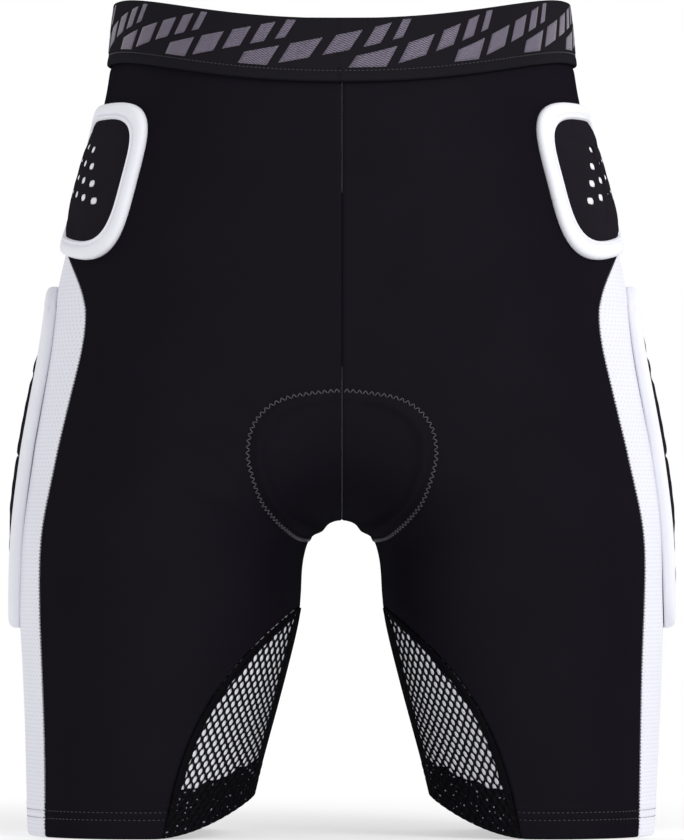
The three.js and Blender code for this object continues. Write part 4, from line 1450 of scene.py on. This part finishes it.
def stage():
    """Pale floor that fades into the white background away from the shorts."""
    floor = bpy.data.meshes.new("floor")
    size = 6.0
    floor.from_pydata([(-size, -size, -0.0002), (size, -size, -0.0002), (size, size, -0.0002),
                       (-size, size, -0.0002)], [], [(0, 1, 2, 3)])
    obj = bpy.data.objects.new("floor", floor)
    bpy.context.scene.collection.objects.link(obj)
    m = Nodes("pale_floor")
    m.set(m.shader, "Base Color", (0.52, 0.52, 0.525, 1))
    m.set(m.shader, "Emission Color", (1, 1, 1, 1))
    m.set(m.shader, "Emission Strength", 0.5)
    m.set(m.shader, "Roughness", 0.9)
    m.set(m.shader, "Specular IOR Level", 0.1)
    away = m.add("VectorMath", {0: m.add("TexCoord").outputs["Object"]}, operation="LENGTH").outputs["Value"]
    faded = m.add("MapRange", {"Value": away, "From Min": 0.22, "From Max": 0.6}, interpolation_type="SMOOTHSTEP")
    white = m.add("Emission", {"Color": (1, 1, 1, 1), "Strength": 1.0})
    mixed = m.add("MixShader", {0: faded, 1: m.shader, 2: white})
    output = m.tree.nodes["Material Output"]
    m.tree.links.new(mixed.outputs[0], output.inputs["Surface"])
    floor.materials.append(m.material)


def light(name, place, target, size, power, colour=(1, 1, 1)):
    data = bpy.data.lights.new(name, "AREA")
    data.energy = power
    data.shape = "RECTANGLE"
    data.size, data.size_y = size
    data.color = colour
    obj = bpy.data.objects.new(name, data)
    obj.location = place
    obj.rotation_euler = (Vector(target) - Vector(place)).to_track_quat("-Z", "Y").to_euler()
    bpy.context.scene.collection.objects.link(obj)


def studio():
    """Soft light from all round, a little stronger from the front right. The background itself is plain white."""
    world = bpy.data.worlds.new("studio")
    world.use_nodes = True
    tree = world.node_tree
    ambient = tree.nodes["Background"]
    ambient.inputs["Color"].default_value = (1, 1, 1, 1)
    ambient.inputs["Strength"].default_value = 0.64
    plain = tree.nodes.new("ShaderNodeBackground")
    plain.inputs["Color"].default_value = (1, 1, 1, 1)
    path = tree.nodes.new("ShaderNodeLightPath")
    mixed = tree.nodes.new("ShaderNodeMixShader")
    tree.links.new(path.outputs["Is Camera Ray"], mixed.inputs[0])
    tree.links.new(ambient.outputs[0], mixed.inputs[1])
    tree.links.new(plain.outputs[0], mixed.inputs[2])
    tree.links.new(mixed.outputs[0], tree.nodes["World Output"].inputs["Surface"])
    bpy.context.scene.world = world
    middle = (0, 0, 0.27)
    light("key", (1.5, -1.6, 1.7), middle, (1.0, 1.0), 30)
    light("fill", (-1.7, -1.6, 0.9), middle, (1.4, 1.6), 4)
    light("rim_left", (-1.5, 0.9, 0.9), middle, (0.6, 1.4), 2.5)
    light("rim_right", (1.5, 0.9, 0.9), middle, (0.6, 1.4), 4)
    bpy.context.scene.view_settings.view_transform = "Standard"


def camera():
    """Straight on from the front, level with the thighs, through a long lens that the shorts fill."""
    distance = 4.0
    height = 0.2
    aim = 0.2597
    frame_height = 0.5295
    data = bpy.data.cameras.new("camera")
    data.sensor_width = 36
    data.lens = 36 * distance / frame_height
    data.clip_start, data.clip_end = 0.1, 30
    obj = bpy.data.objects.new("camera", data)
    obj.location = (0, -distance, height)
    obj.rotation_euler = (math.pi / 2 + math.atan2(aim - height, distance), 0, 0)
    bpy.context.scene.collection.objects.link(obj)
    bpy.context.scene.camera = obj


stage()
studio()
camera()
